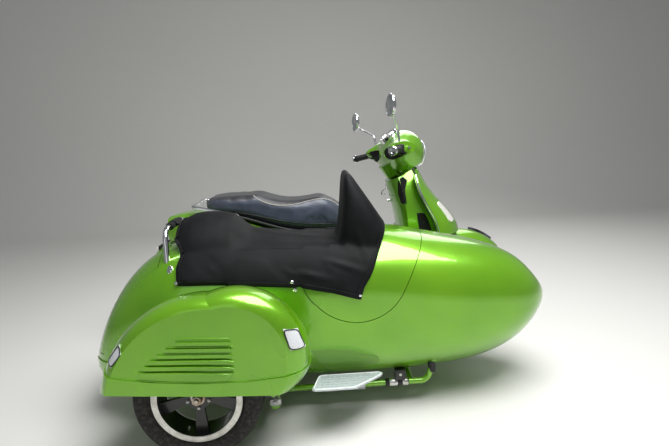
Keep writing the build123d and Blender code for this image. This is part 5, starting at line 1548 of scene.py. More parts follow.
@dataclass
class Saddle:
    """Padded dual saddle: dished black top, slate sides and a pale piping between them."""

    piping: Profile = (
        (343.5, 209.5), (335, 202.6), (328, 199.6), (321.6, 198.4), (310, 200.6), (299, 203.6), (288, 205.4),
        (278, 205.6), (269, 204.2), (262.2, 201.6), (256, 198), (253.4, 195.6),
    )
    # Millimetres behind the pad's front end and rise of its top
    lift: Profile = (
        (0, 4), (60, 6), (105, 8), (150, 14), (192, 13), (250, 5), (310, 4), (365, 8), (420, 14), (475, 21),
        (520, 26), (548, 22), (590, 9), (670, 4), (745, 18), (790, 27), (818, 22),
    )
    voxel: float = 0.0075
    piping_gap: float = 0.013
    swell: float = 0.010
    frames: int = 20
    pressure: float = 4.0
    tension: float = 25.0
    slimming: float = 0.012
    lift_curve: float = 0.8
    lift_loss: float = 0.0015
    middle_height: float = 0.70
    pipe: float = 0.0026
    pipe_lift: float = 0.0012
    rear_slope: float = 0.60
    front_slope: float = 0.30
    fill: float = 0.85
    # The edge cord's oval: mm behind the front axle, half length and half width in metres
    cord_middle: float = 1015.0
    cord_front: float = 606.0
    cord_half: Pair = (0.46, 0.20)
    cord_span: float = 0.818
    cord_heights: Pair = (0.645, 0.135)
    cord_sag: float = 0.02
    cord: float = 0.0030

    def pad(self) -> Piece:
        """The cushion, blown up a little where the cloth solver runs.

        Returns:
            The cushion, not yet dressed.
        """
        built = merged_copy("saddle_cushion")
        solid = BVHTree.FromBMesh(built)
        front = max(vert.co.x for vert in built.verts)
        for vert in built.verts:
            place = min(vert.co.x, front - 0.004)
            high = top_at(solid, place, SCOOTER_Y)
            low, _, _, _ = solid.ray_cast(Vector((place, SCOOTER_Y, 0.3)), UPWARD)
            inward = Vector((0.0, SCOOTER_Y - vert.co.y, 0.0))
            vert.co += inward * self.slimming
            if high is not None and low is not None:
                share = clamped((vert.co.z - low.z) / max(high.z - low.z, 0.005))
                rise = value_at(self.lift, (front - vert.co.x) / MM) * MM
                vert.co.z += share**self.lift_curve * (rise - self.lift_loss)
        bmesh.ops.recalc_face_normals(built, faces=built.faces[:])
        piece = stand("saddle_pad", mesh_of(built, "saddle_pad"))
        remesh = piece.modifiers.new("remesh", "REMESH")
        remesh.mode = "VOXEL"
        remesh.voxel_size = self.voxel
        self.apply(piece)
        self.inflate(piece)
        return piece

    def apply(self, piece: Piece) -> None:
        """Replaces a piece's mesh by what its modifiers make of it.

        Args:
            piece: The piece.
        """
        graph = bpy.context.evaluated_depsgraph_get()
        mesh = bpy.data.meshes.new_from_object(piece.evaluated_get(graph))
        piece.modifiers.clear()
        piece.data = mesh

    def inflate(self, piece: Piece) -> None:
        """Runs the cloth solver with inner pressure and caps how far a point moves.

        Args:
            piece: The cushion.
        """
        rest = [vert.co.copy() for vert in piece.data.vertices]
        cloth = piece.modifiers.new("pad", "CLOTH")
        cloth.settings.use_pressure = True
        cloth.settings.uniform_pressure_force = self.pressure
        cloth.settings.effector_weights.gravity = 0.0
        cloth.settings.tension_stiffness = self.tension
        for frame in range(1, self.frames + 1):
            bpy.context.scene.frame_set(frame)
        self.apply(piece)
        bpy.context.scene.frame_set(1)
        for vert, start in zip(piece.data.vertices, rest):
            move = vert.co - start
            if move.length > self.swell:
                vert.co = start + move.normalized() * self.swell

    def seam_line(self, target: BVHTree) -> List[Vector]:
        """Piping points on the pad's right side, front to rear."""
        found = [EYE.find(target, spot.x, spot.y)[0] for spot in picture_line(self.piping, 2.0)]
        inner = SCOOTER_Y - self.piping_gap
        return [p if p.y < inner else target.find_nearest(Vector((p.x, inner, p.z)))[0] for p in found]

    def build(self) -> None:
        """Makes the pad with its two vinyls, the piping and the edge cord."""
        piece = self.pad()
        built = bmesh.new()
        built.from_mesh(piece.data)
        target = BVHTree.FromBMesh(built)
        seam = self.seam_line(target)
        heights = sorted(((p.x, p.z) for p in seam), key=lambda pair: pair[0])
        for face in built.faces:
            face.material_index = int(self.is_side(face.calc_center_median(), face.normal, heights))
        bpy.data.objects.remove(piece)
        vinyls = [SEAT_TOP, SEAT_SIDE]
        cushion = settle(built, "saddle_pad", "saddle", vinyls, outward=False)
        finer = cushion.modifiers.new("round", "SUBSURF")
        finer.levels = finer.render_levels = 1
        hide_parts("saddle_cushion")
        for hand in Hand:
            line = [p if hand is Hand.RIGHT else across(p, SCOOTER_Y) for p in seam]
            lifted = [
                point + self.outward(target, point) * self.pipe_lift for point in smoothed(line, 2, False)
            ]
            tube(lifted, self.pipe, f"saddle_piping_{hand.name.lower()}", "saddle", PIPING)
        self.skirt(target)

    def outward(self, target: BVHTree, point: Vector) -> Vector:
        """Outward direction of the pad at a point near it."""
        _, normal, _, _ = target.find_nearest(point)
        middle = Vector((point.x, SCOOTER_Y, self.middle_height))
        return normal if normal.dot(point - middle) > 0 else -normal

    def is_side(self, centre: Vector, normal: Vector, heights: Sequence[Pair]) -> bool:
        """Whether a face lies on the slate side panels, below the piping.

        Args:
            centre: Middle of the face.
            normal: Its outward direction.
            heights: Length position and height of the piping, in order.

        Returns:
            True for slate vinyl.
        """
        if centre.x < heights[0][0]:
            return normal.z < self.rear_slope
        for (low, start), (high, end) in zip(heights, heights[1:]):
            if low <= centre.x <= high:
                return centre.z < start + (end - start) * (centre.x - low) / max(high - low, 1e-6)
        return abs(normal.y) > self.front_slope

    def skirt(self, target: BVHTree) -> None:
        """Cord where the pad meets its pan.

        Args:
            target: Surface of the pad.
        """
        rows = []
        for degrees in range(0, 360, 6):
            turn = math.radians(degrees)
            length, width = self.cord_half
            x = behind(self.cord_middle) + length * math.cos(turn)
            share = clamped((behind(self.cord_front) - x) / self.cord_span)
            low, climb = self.cord_heights
            z = low + climb * share**1.25 - self.cord_sag * math.sin(math.pi * share)
            start = Vector((x, SCOOTER_Y + width * math.sin(turn), z))
            point, _, _, _ = target.find_nearest(start)
            rows.append(point)
        line = smoothed(rows, 3)
        tube(line, self.cord, "saddle_edge_cord", "saddle", BLACK_PLASTIC, cyclic=True)


@dataclass
class SidecarBody:
    """Small things on the sidecar: stone film, lamp gaskets, step surface, clamps and hub nut."""

    film_outline: Profile = (
        (311.9, 350.4), (330, 349.8), (351.2, 350.4), (360.4, 354), (377, 356), (379.6, 359.6),
        (374.7, 363.7), (358, 365.6), (341, 367.8), (327.8, 367.8), (319, 361),
    )
    lamps: Tuple[Profile, ...] = (
        ((329, 506), (377, 493), (402, 423), (349, 430)),
        ((-228, 484), (-220, 454), (-262, 405), (-278, 425)),
    )
    louvres: Tuple[Tuple[float, float, float, float], ...] = (
        (174.8, 339, 229.5, 338.6), (166, 347.6, 233, 346.6), (157.6, 354.2, 233.6, 353.8),
        (150.4, 361.2, 233.8, 361.2), (144.4, 367.2, 234, 368), (138.4, 373, 233.2, 374.8),
    )
    ledge: Profile = (
        (108, 377.6), (135, 380.6), (166.4, 382.4), (214, 382.8), (247.4, 381.2), (284.3, 375.9),
        (296, 371.6),
    )
    lip_radius: float = 0.0034
    lip_flatness: float = 0.35
    lip_sink: float = 0.0006
    bead_radius: float = 0.0026
    # The chassis tube's middle and the bore of what is round it
    tube_y: float = -0.430
    tube_z: float = 0.0987
    tube_bore: float = 0.0126
    tube_edge: float = 0.0012
    tube_front: float = 919.0
    bands: Tuple[Tuple[str, Pair, float, Finish], ...] = (
        ("tube_sleeve", (385.5, 409), 0.0160, BLACK_PLASTIC),
        ("tube_band_rear", (389.6, 397.6), 0.0168, ZINC), ("tube_band_front", (402.6, 408.4), 0.0168, ZINC),
    )
    band_row: float = 379.0
    block_spot: Pair = (399.7, 368.7)
    block_size: Point = (0.044, 0.034, 0.046)
    block_height: float = 0.136
    collar: Profile = ((0.0, 0.0126), (0.0, 0.0162), (0.046, 0.0162), (0.046, 0.0126))
    collar_height: float = 0.140
    clamp_spot: Pair = (275.5, 403.0)
    clamp_size: Point = (0.048, 0.030, 0.030)
    clamp_washer: Profile = ((0.0, 0.0), (0.0, 0.0145), (0.002, 0.0145), (0.0024, 0.0))
    nut: Pair = (0.0196, 0.0256)
    nut_washer: Profile = ((0.0, 0.0), (0.0, 0.026), (0.003, 0.026), (0.0036, 0.0))
    nut_cap: Profile = ((0.0, 0.0105), (0.006, 0.0105), (0.0085, 0.0085), (0.0090, 0.0))
    step: Profile = ((440.0, 6.0), (698.0, 6.0), (684.0, 42.0), (574.0, 158.0), (414.0, 158.0))
    step_side: float = 0.262
    step_height: float = 0.176
    step_thickness: float = 0.005
    step_tilt: float = math.radians(8.0)
    step_screws: Profile = ((482.0, 30.0), (482.0, 96.0), (612.0, 30.0), (612.0, 96.0))
    strakes: int = 5
    strake_first: float = 34.0
    strake_pitch: float = 26.0
    strake_ends: Pair = (444.0, 664.0)
    strake_step: float = 22.0

    def stone_film(self) -> None:
        """Clear film on the flank, behind the wheel's spray, with its raised rim."""
        rows, rim = film(node_tree_of("sidecar_tub", "entry_panel"), self.film_outline, 0.0006, 6)
        settle(sheet_of(rows, 0.0003), "stone_film_right", "outfit", [STONE_FILM])
        tube(smoothed(rim, 1), 0.0010, "stone_film_rim", "outfit", FILM_EDGE, cyclic=True, ring=2)

    def gaskets(self) -> None:
        """Rubber beads round the mudguard's marker lamps."""
        guard = node_tree_of("guard_lamps")
        for index, corners in enumerate(self.lamps):
            outline = [Vector((ahead(x), -0.9, z * MM)) for x, z in (*corners, corners[0])]
            line = along(outline, 0.012)[:-1]
            middle = sum(line, Vector()) / len(line)
            bead = []
            for spot in line:
                start = middle + (spot - middle) * 0.97
                point, _, _, _ = guard.ray_cast(start, LEFTWARD)
                if point is None:
                    point, _, _, _ = guard.find_nearest(start + LEFTWARD * 0.13)
                bead.append(point + RIGHTWARD * 0.0004)
            name = f"guard_lamp_gasket_{index}"
            tube(smoothed(bead, 1), 0.0022, name, "outfit", BLACK_PLASTIC, cyclic=True, ring=3)

    def ribs(self) -> None:
        """Round lips of the mudguard's louvres, and the bead over its lower band."""
        guard = node_tree_of("sidecar_fender")
        for index, (left, high, right, low) in enumerate(self.louvres):
            line = picture_line(((left, high), (right, low)), 5.0)
            found = [EYE.find(guard, spot.x, spot.y)[0] for spot in line]
            level = min(point.y for point in found) + self.lip_sink
            points = [Vector((p.x, level + self.lip_flatness * (p.y - level), p.z)) for p in found]
            lip = smoothed(points, 2, False)
            tube(lip, self.lip_radius, f"louvre_lip_{index}", "outfit", LIME, ring=4)
        line = picture_line(self.ledge, 5.0)
        points = [EYE.find(guard, spot.x, spot.y)[0] + RIGHTWARD * 0.0008 for spot in line]
        bead = smoothed(points, 4, False)
        tube(bead, self.bead_radius, "guard_band_bead", "outfit", LIME, ring=4)

    def on_step(self, forward: float, out: float, lift: float = 0.0) -> Vector:
        """Point over the step plate's top, by the plate's own two lengths.

        Args:
            forward: Millimetres ahead.
            out: Millimetres outwards.
            lift: Metres over the plate's top.

        Returns:
            The point.
        """
        run = out * MM
        cos, sin = math.cos(self.step_tilt), math.sin(self.step_tilt)
        height = self.step_thickness + lift
        y = SIDECAR_Y - self.step_side - run * cos + height * sin
        return Vector((ahead(forward), y, self.step_height + run * sin + height * cos))

    def step_surface(self) -> None:
        """Grip film on the step with its pale raised border, strakes and screws."""
        spots = [self.on_step(x, out, 0.0004) for x, out in self.step]
        edge = along([*spots, spots[0]], 0.012)[:-1]
        middle = sum(edge, Vector()) / len(edge)
        rim = smoothed(edge, 3)
        shares = [1.0 - FILM_DEPTH * ring / 5 for ring in range(6)]
        rows = [[middle + (p - middle) * share for p in (*rim, rim[0])] for share in shares]
        settle(sheet_of(rows, 0.0004), "step_film", "outfit", [STEP_FILM])
        tube(rim, 0.0030, "step_border", "outfit", STEP_EDGE, cyclic=True)
        built = bmesh.new()
        up = Vector((0, math.sin(self.step_tilt), math.cos(self.step_tilt)))
        for x, out in self.step_screws:
            stud(built, self.on_step(x, out, 0.0006), up, 0.0050, 0.0030, dome=True)
        settle(built, "step_screws", "outfit", [ZINC])
        side = Vector((0, -math.cos(self.step_tilt), math.sin(self.step_tilt)))
        for index in range(self.strakes):
            out = self.strake_first + self.strake_pitch * index
            rear, front = self.strake_ends
            front -= self.strake_step * max(0, index - 1)
            spine = [self.on_step(x, out, 0.0016) for x in (rear, 0.5 * (rear + front), front)]
            strap(spine, side, 0.006, 0.0012, f"step_strake_{index}", "outfit", STEP_FILM)

    def ring_on_tube(self, start: float, end: float, radius: float, name: str, finish: Finish) -> None:
        """Band round the right-hand chassis tube between two places along X, in metres."""
        half = [(0.0, self.tube_bore), (0.0, radius - 0.001), (self.tube_edge, radius)]
        rows = half + [(end - start - run, around) for run, around in reversed(half)]
        turned_piece(name, rows, Vector((start, self.tube_y, self.tube_z)), FORWARD, 32, finish)

    def clamps(self) -> None:
        """Black sleeve with two bright bands on the tube, and the block over it."""
        near = self.tube_y - 0.013
        for name, columns, radius, finish in self.bands:
            start, end = (EYE.at_side(column, self.band_row, near).x for column in columns)
            self.ring_on_tube(start, end, radius, name, finish)
        built = bmesh.new()
        x = EYE.at_side(*self.block_spot, self.tube_y).x
        place = Matrix.Translation((x, self.tube_y, self.block_height))
        rounded_block(built, place, self.block_size, 0.003)
        settle(built, "body_mount_block", "outfit", [BLACK_FRAME])
        bolt = bmesh.new()
        spot = Vector((x, self.tube_y - self.block_size[1] / 2, self.block_height + 0.004))
        stud(bolt, spot, RIGHTWARD, 0.0065, 0.005)
        settle(bolt, "body_mount_bolt", "outfit", [ZINC])
        foot = Vector((ahead(self.tube_front), self.tube_y, self.collar_height))
        turned_piece("tube_end_collar", self.collar, foot, UPWARD, 32, BLACK_PLASTIC)

    def rear_clamp(self) -> None:
        """Steel clamp and its bolt on the chassis bracket behind the step."""
        point, _ = EYE.find(node_tree_of("chassis_frame"), *self.clamp_spot)
        point.z += 0.006
        built = bmesh.new()
        rounded_block(built, Matrix.Translation(point + LEFTWARD * 0.008), self.clamp_size, 0.006, 3)
        stud(built, point + RIGHTWARD * 0.007, RIGHTWARD, 0.0105, 0.008)
        spin_profile(built, self.clamp_washer, point + RIGHTWARD * 0.0065, RIGHTWARD, 28)
        settle(built, "chassis_clamp", "outfit", [STEEL])

    def hub_nut(self) -> None:
        """Bronze axle nut with its washer."""
        built = bmesh.new()
        foot = Vector((SIDECAR_X, SIDECAR_WHEEL_Y - 0.0315, AXLE_HEIGHT))
        stud(built, foot + RIGHTWARD * 0.002, RIGHTWARD, *self.nut)
        spin_profile(built, self.nut_washer, foot, RIGHTWARD, 36)
        spin_profile(built, self.nut_cap, foot + RIGHTWARD * 0.0265, RIGHTWARD, 24)
        settle(built, "sidecar_axle_nut", "outfit", [BRONZE])

    def build(self) -> None:
        """Makes the sidecar's small pieces."""
        self.stone_film()
        self.gaskets()
        self.ribs()
        self.rear_clamp()
        self.step_surface()
        self.clamps()
        self.hub_nut()


@dataclass
class Cockpit:
    """Handlebar fittings: bar ends, switch pods, dial, mirror glass, lamp ring and a black sheet of painted
    shade in the cowl's window.
    """

    inner: Point = (404.0, 236.0, 1044.0)
    outer: Point = (490.0, 350.0, 1026.0)
    window: Profile = (
        (384, 151.5), (386.4, 147.6), (392, 146.2), (398, 147.2), (403.5, 149.8), (408, 152.4), (404, 155.4),
        (398, 158.2), (391.5, 160), (386.6, 158.6), (384.2, 155.4),
    )
    end_profile: Profile = (
        (-0.006, 0.0203), (-0.004, 0.0236), (0.003, 0.0240), (0.0064, 0.0205), (0.0066, 0.0125),
        (0.0020, 0.0105), (0.0026, 0),
    )
    rib_profile: Profile = ((-0.0022, 0.0168), (-0.0010, 0.0182), (0.0010, 0.0182), (0.0022, 0.0168))
    rib_first: float = 0.040
    rib_pitch: float = 0.0095
    ribs: int = 9
    pod_size: Point = (0.044, 0.040, 0.030)
    pod_place: float = 0.016
    button_shift: float = 0.008
    button_lean: Point = (-1.0, 0.0, 0.2)
    dial_back: float = 382.0
    dial_height: float = 1126.0
    dial_tilt: float = math.radians(52.0)
    dial_lift: float = 0.0122
    dial_plate: Profile = ((0.0, 0.046), (0.0006, 0.046), (0.0008, 0.0))
    bezel: Profile = (
        (-0.004, 0.0545), (0.003, 0.0548), (0.0062, 0.0525), (0.0060, 0.0490), (0.0010, 0.0462), (0, 0.0475),
        (-0.004, 0.0545),
    )
    marks: int = 21
    marks_start: float = -135.0
    marks_pitch: float = 13.5
    mirror_place: Point = (488.0, 330.0, 1252.0)
    mirror_plate: Profile = ((-0.001, 0.0540), (0.0008, 0.0540), (0.0012, 0.0))
    mirror_rim: Profile = (
        (-0.004, 0.0582), (0.0016, 0.0584), (0.0028, 0.0562), (0.0012, 0.0536), (-0.001, 0.0540),
        (-0.004, 0.0582),
    )
    lamp_back: float = 226.0
    lamp_height: float = 1.030
    lamp_profile: Profile = (
        (-0.002, 0.0722), (-0.002, 0.0780), (0.010, 0.0778), (0.020, 0.0758), (0.0232, 0.0736),
        (0.0224, 0.0712), (0.012, 0.0716), (-0.002, 0.0722),
    )

    def on_bar(self, place: Point, hand: Hand) -> Vector:
        """Straight-ahead place of a back, half span and height on one half of the bar."""
        return Vector((behind(place[0]), SCOOTER_Y + hand.value * place[1] * MM, place[2] * MM))

    def put(
        self, built: Built, name: str, finishes: Sequence[Finish], smooth: bool = True,
    ) -> None:
        """Turns straight-ahead fittings with the steering and settles them."""
        for vert in built.verts:
            vert.co = steered(vert.co)
        settle(built, name, "steering", finishes, smooth)

    def bar_ends(self) -> None:
        """Polished bar-end weights, and a ribbed flange at each grip's inner end."""
        ends, ribs, pods, buttons = bmesh.new(), bmesh.new(), bmesh.new(), bmesh.new()
        for hand in Hand:
            inner, outer = self.on_bar(self.inner, hand), self.on_bar(self.outer, hand)
            line = (outer - inner).normalized()
            spin_profile(ends, self.end_profile, outer, line, 36)
            for index in range(self.ribs):
                place = inner + line * (self.rib_first + self.rib_pitch * index)
                spin_profile(ribs, self.rib_profile, place, line, 28)
            spot = inner + line * self.pod_place
            rounded_block(pods, Matrix.Translation(spot) @ facing(line, "X"), self.pod_size, 0.007, 3)
            for shift in (-self.button_shift, self.button_shift):
                place = spot + Vector((-0.019, 0.0, shift + 0.004))
                stud(buttons, place, Vector(self.button_lean), 0.0042, 0.0040, dome=True)
        self.put(ends, "bar_end_weights", [CHROME])
        self.put(ribs, "grip_ribs", [BLACK_PLASTIC])
        self.put(pods, "switch_pods", [BLACK_PLASTIC])
        self.put(buttons, "switch_buttons", [ZINC])

    def dial(self) -> None:
        """Instrument face with its marks, needle and bright bezel."""
        up = Vector((-math.cos(self.dial_tilt), 0.0, math.sin(self.dial_tilt)))
        foot = Vector((behind(self.dial_back), SCOOTER_Y, self.dial_height * MM))
        face = foot + up * self.dial_lift
        plate, bezel, marks = bmesh.new(), bmesh.new(), bmesh.new()
        spin_profile(plate, self.dial_plate, face, up, 48)
        spin_profile(bezel, self.bezel, face, up, 56)
        climb = up.cross(LEFTWARD)
        for index in range(self.marks):
            turn = math.radians(self.marks_start + self.marks_pitch * index)
            out = LEFTWARD * math.sin(turn) - climb * math.cos(turn)
            radius, length = (0.0395, 0.008) if index % 2 == 0 else (0.041, 0.005)
            place = Matrix.Translation(face + out * radius + up * 0.0012) @ frame_of(out, up.cross(out), up)
            rounded_block(marks, place, (length, 0.0012, 0.0005), 0.0002, 1)
        needle = Matrix.Translation(face + up * 0.0022 + climb * 0.012) @ frame_of(climb, LEFTWARD, up)
        rounded_block(marks, needle, (0.040, 0.0016, 0.0008), 0.0003, 1)
        stud(marks, face + up * 0.001, up, 0.0050, 0.003, dome=True)
        self.put(plate, "dial_plate", [DIAL_FACE])
        self.put(bezel, "dial_bezel", [CHROME])
        self.put(marks, "dial_marks", [BLACK_PLASTIC], smooth=False)

    def mirror_glass(self) -> None:
        """Glass and rim in the rear face of both mirrors."""
        glass, rims = bmesh.new(), bmesh.new()
        for hand in Hand:
            spot = self.on_bar(self.mirror_place, hand)
            spin_profile(glass, self.mirror_plate, spot, BACKWARD, 48)
            spin_profile(rims, self.mirror_rim, spot, BACKWARD, 48)
        self.put(glass, "mirror_glass", [GLASS])
        self.put(rims, "mirror_rims", [CHROME])

    def lamp_ring(self) -> None:
        """Bright ring that holds the headlamp's glass."""
        built = bmesh.new()
        spot = Vector((behind(self.lamp_back), SCOOTER_Y, self.lamp_height))
        spin_profile(built, self.lamp_profile, spot, FORWARD, 64)
        self.put(built, "headlamp_ring", [CHROME])

    def cowl_window(self) -> None:
        """Black sheet of painted shade in the window in each side of the cowl where bar and lever come out,
        with its lip.
        """
        rows, rim = film(node_tree_of("headset"), self.window, 0.0010, 5)
        for hand in Hand:
            if hand is Hand.LEFT:
                rows = [[other_end(point) for point in row] for row in rows]
                rim = [other_end(point) for point in rim]
            side = hand.name.lower()
            # Painted shade: a black sheet stands for the shadowed inside of the cowl's window
            settle(sheet_of(rows, 0.0004), f"cowl_window_{side}", "steering", [PAINTED_SHADE_BLACK])
            lip = smoothed(rim, 2)
            tube(lip, 0.0032, f"cowl_window_lip_{side}", "steering", LIME, cyclic=True)

    def build(self) -> None:
        """Makes the handlebar fittings."""
        self.bar_ends()
        self.dial()
        self.mirror_glass()
        self.lamp_ring()
        self.cowl_window()


@dataclass
class Front:
    """Trim of the scooter's front and floor: shield edging, black sheets of painted shade in its openings,
    hook, lock, knob and mats.
    """

    low: float = 0.352
    high: float = 0.918
    stations: int = 34
    edge_back: float = 140.0
    edge_pitch: float = 5.0
    edge_steps: int = 44
    edge_reach: float = 0.4
    edge_depth: float = 0.0012
    edging_radius: float = 0.0062
    joint_radius: float = 0.0030
    opening: Profile = (
        (416.4, 212.4), (424.9, 212.9), (429, 221), (432.3, 231.3), (419.3, 231.3), (417.6, 221),
    )
    shelf: Profile = (
        (397.4, 181.5), (402.5, 176.6), (407.2, 180), (405, 190), (407.3, 204.4), (401, 204), (397.8, 194),
    )
    lock_place: Pair = (0.075, 0.850)
    lock_profile: Profile = (
        (-0.002, 0.016), (0.004, 0.016), (0.0065, 0.013), (0.0065, 0.0095), (0.009, 0.009), (0.0092, 0),
    )
    knob_place: Pair = (0.0, 0.770)
    knob_profile: Profile = (
        (-0.002, 0.011), (0.003, 0.011), (0.005, 0.007), (0.010, 0.007), (0.013, 0.010), (0.018, 0.010),
        (0.020, 0),
    )
    hook_place: Pair = (0.0, 0.838)
    # Out from the wall and up, along the hook's bar
    hook_line: Profile = (
        (-0.002, 0), (0.020, 0), (0.034, -0.010), (0.034, -0.028), (0.022, -0.034), (0.014, -0.026),
    )
    hook_radius: float = 0.0032
    mat_place: float = 502.0
    mat_ribs: int = 6
    mat_first: float = 0.082
    mat_pitch: float = 0.018
    rib_size: Point = (0.236, 0.0105, 0.0032)
    rib_step: float = 0.012

    def edge(self, hand: Hand) -> List[Vector]:
        """Middle line of the leg shield's outer edge on one side.

        Args:
            hand: The side.

        Returns:
            The line, from below.
        """
        shield = node_tree_of("leg_shield")
        points = []
        for index in range(self.stations + 1):
            z = self.low + (self.high - self.low) * index / self.stations
            hits = []
            for step in range(self.edge_steps):
                x = behind(self.edge_back + self.edge_pitch * step)
                start = Vector((x, SCOOTER_Y + hand.value * self.edge_reach, z))
                point, _, _, _ = shield.ray_cast(start, RIGHTWARD * hand.value, self.edge_reach)
                if point is not None:
                    hits.append(point)
            if hits:
                widest = max(abs(p.y - SCOOTER_Y) for p in hits)
                flat = [p for p in hits if widest - abs(p.y - SCOOTER_Y) < self.edge_depth]
                points.append(sum(flat, Vector()) / len(flat))
        return smoothed(points, 3, False)

    def edging(self) -> None:
        """Bright channel round the shield's edges with the dark joint behind it."""
        for hand in Hand:
            side = hand.name.lower()
            line = self.edge(hand)
            tube(line, self.edging_radius, f"shield_edging_{side}", "outfit", CHROME, ring=5)
            joint = [point + Vector((-0.0115, -hand.value * 0.0008, 0.0)) for point in line]
            tube(joint, self.joint_radius, f"shield_joint_{side}", "outfit", BLACK_PLASTIC, ring=3)

    def openings(self) -> None:
        """Black sheets of painted shade for the air opening beside the tunnel and the open shelf over it, on
        both sides, each with its lip.
        """
        panel = node_tree_of("inner_shield", "leg_shield")
        for name, outline in (("air_opening", self.opening), ("shelf_opening", self.shelf)):
            rows, rim = film(panel, outline, 0.0008, 4)
            for hand in Hand:
                if hand is Hand.LEFT:
                    rows = [[across(point, SCOOTER_Y) for point in row] for row in rows]
                    rim = [across(point, SCOOTER_Y) for point in rim]
                side = hand.name.lower()
                # Painted shade: a black sheet stands for the shadowed inside of the opening
                settle(sheet_of(rows, 0.0004), f"{name}_{side}", "outfit", [PAINTED_SHADE_BLACK])
                lip = smoothed(rim, 1)
                tube(lip, 0.0014, f"{name}_rim_{side}", "outfit", LIME, cyclic=True, ring=3)

    @staticmethod
    def on_wall(node: str, place: Pair) -> Tuple[Vector, Vector]:
        """Point and outward normal on a node's face towards the rider."""
        start = Vector((behind(600.0), SCOOTER_Y + place[0], place[1]))
        point, normal, _, _ = node_tree_of(node).ray_cast(start, FORWARD)
        return point, normal if normal.x < 0 else -normal

    def rider_side(self) -> None:
        """Steering lock, bag hook and the glovebox's knob, on the face towards the rider."""
        lock = self.on_wall("inner_shield", self.lock_place)
        turned_piece("steering_lock", self.lock_profile, *lock, 32, CHROME, "chrome")
        knob = self.on_wall("glovebox_door", self.knob_place)
        turned_piece("glovebox_knob", self.knob_profile, *knob, 32, CHROME, "chrome", "glovebox")
        point, out = self.on_wall("inner_shield", self.hook_place)
        line = [point + out * run + UPWARD * rise for run, rise in self.hook_line]
        tube(line, self.hook_radius, "bag_hook", "outfit", CHROME)

    def mats(self) -> None:
        """Ribbed rubber mats on the floor, left and right of the tunnel."""
        floor = node_tree_of("floor_pan")
        built = bmesh.new()
        for hand in Hand:
            for index in range(self.mat_ribs):
                y = SCOOTER_Y + hand.value * (self.mat_first + self.mat_pitch * index)
                x = behind(self.mat_place)
                length, width, height = self.rib_size
                length -= self.rib_step * max(0, index - self.mat_ribs // 2)
                place = Matrix.Translation((x, y, top_at(floor, x, y).z + 0.0010))
                rounded_block(built, place, (length, width, height), 0.0012, 2)
        settle(built, "floor_mat_ribs", "outfit", [RUBBER_MAT])

    def build(self) -> None:
        """Makes the front's trim."""
        self.edging()
        self.openings()
        self.rider_side()
        self.mats()


@dataclass
class Running:
    """Brake, lamp and plate fittings that show low down and behind."""

    disc_side: float = 0.0323
    disc_bolts: int = 5
    disc_bolt_circle: float = 0.028
    caliper_turn: float = math.radians(118.0)
    caliper_radius: float = 0.094
    caliper_size: Point = (0.040, 0.030, 0.066)
    lamp_place: Pair = (1640.0, 0.668)
    lamp_radius: float = 0.07
    plate_place: Pair = (1712.0, 0.492)
    screw_half: float = 0.060
    tip_place: Point = (1548.0, -0.168, 0.262)
    tip_profile: Profile = (
        (0, 0.010), (0, 0.014), (0.034, 0.014), (0.036, 0.0125), (0.034, 0.011), (0.004, 0.010), (0.003, 0),
    )

    def brake(self) -> None:
        """Caliper over the front disc, and the disc's bolts."""
        caliper, bolts = bmesh.new(), bmesh.new()
        out = Vector((math.cos(self.caliper_turn), 0.0, math.sin(self.caliper_turn)))
        hub = Vector((FRONT_AXLE_X, SCOOTER_Y + self.disc_side, AXLE_HEIGHT))
        place = Matrix.Translation(hub + out * self.caliper_radius + LEFTWARD * 0.004)
        turned = frame_of(out, LEFTWARD, out.cross(LEFTWARD))
        rounded_block(caliper, place @ turned, self.caliper_size, 0.006, 3)
        for index in range(self.disc_bolts):
            angle = math.tau * index / self.disc_bolts
            spoke = Vector((math.cos(angle), 0.0, math.sin(angle))) * self.disc_bolt_circle
            stud(bolts, hub + spoke + LEFTWARD * 0.002, LEFTWARD, 0.0055, 0.004)
        pieces = (
            (caliper, "brake_caliper", "steering", CAST_ALLOY), (bolts, "disc_bolts", "front_wheel", ZINC)
        )
        for built, name, body, finish in pieces:
            for vert in built.verts:
                vert.co = steered(vert.co)
            settle(built, name, body, [finish])

    def rear(self) -> None:
        """Tail lamp bezel, plate screws and the silencer's tip."""
        lamp = node_tree_of("tail_lamp")
        back, height = self.lamp_place
        ring = []
        for degrees in range(0, 360, 12):
            turn = math.radians(degrees)
            y, z = self.lamp_radius * math.cos(turn), self.lamp_radius * math.sin(turn)
            point, _, _, _ = lamp.find_nearest(Vector((behind(back) - 0.002, SCOOTER_Y + y, height + z)))
            ring.append(point)
        tube(ring, 0.0030, "tail_lamp_bezel", "outfit", CHROME, cyclic=True)
        screws = bmesh.new()
        back, height = self.plate_place
        for hand in Hand:
            spot = Vector((behind(back), SCOOTER_Y + hand.value * self.screw_half, height))
            stud(screws, spot, BACKWARD, 0.0062, 0.0035, dome=True)
        settle(screws, "plate_screws", "outfit", [ZINC])
        back, side, height = self.tip_place
        foot = Vector((behind(back), SCOOTER_Y + side, height))
        turned_piece("silencer_tip", self.tip_profile, foot, BACKWARD, 28, STEEL, "steel")

    def build(self) -> None:
        """Makes the running fittings."""
        self.brake()
        self.rear()


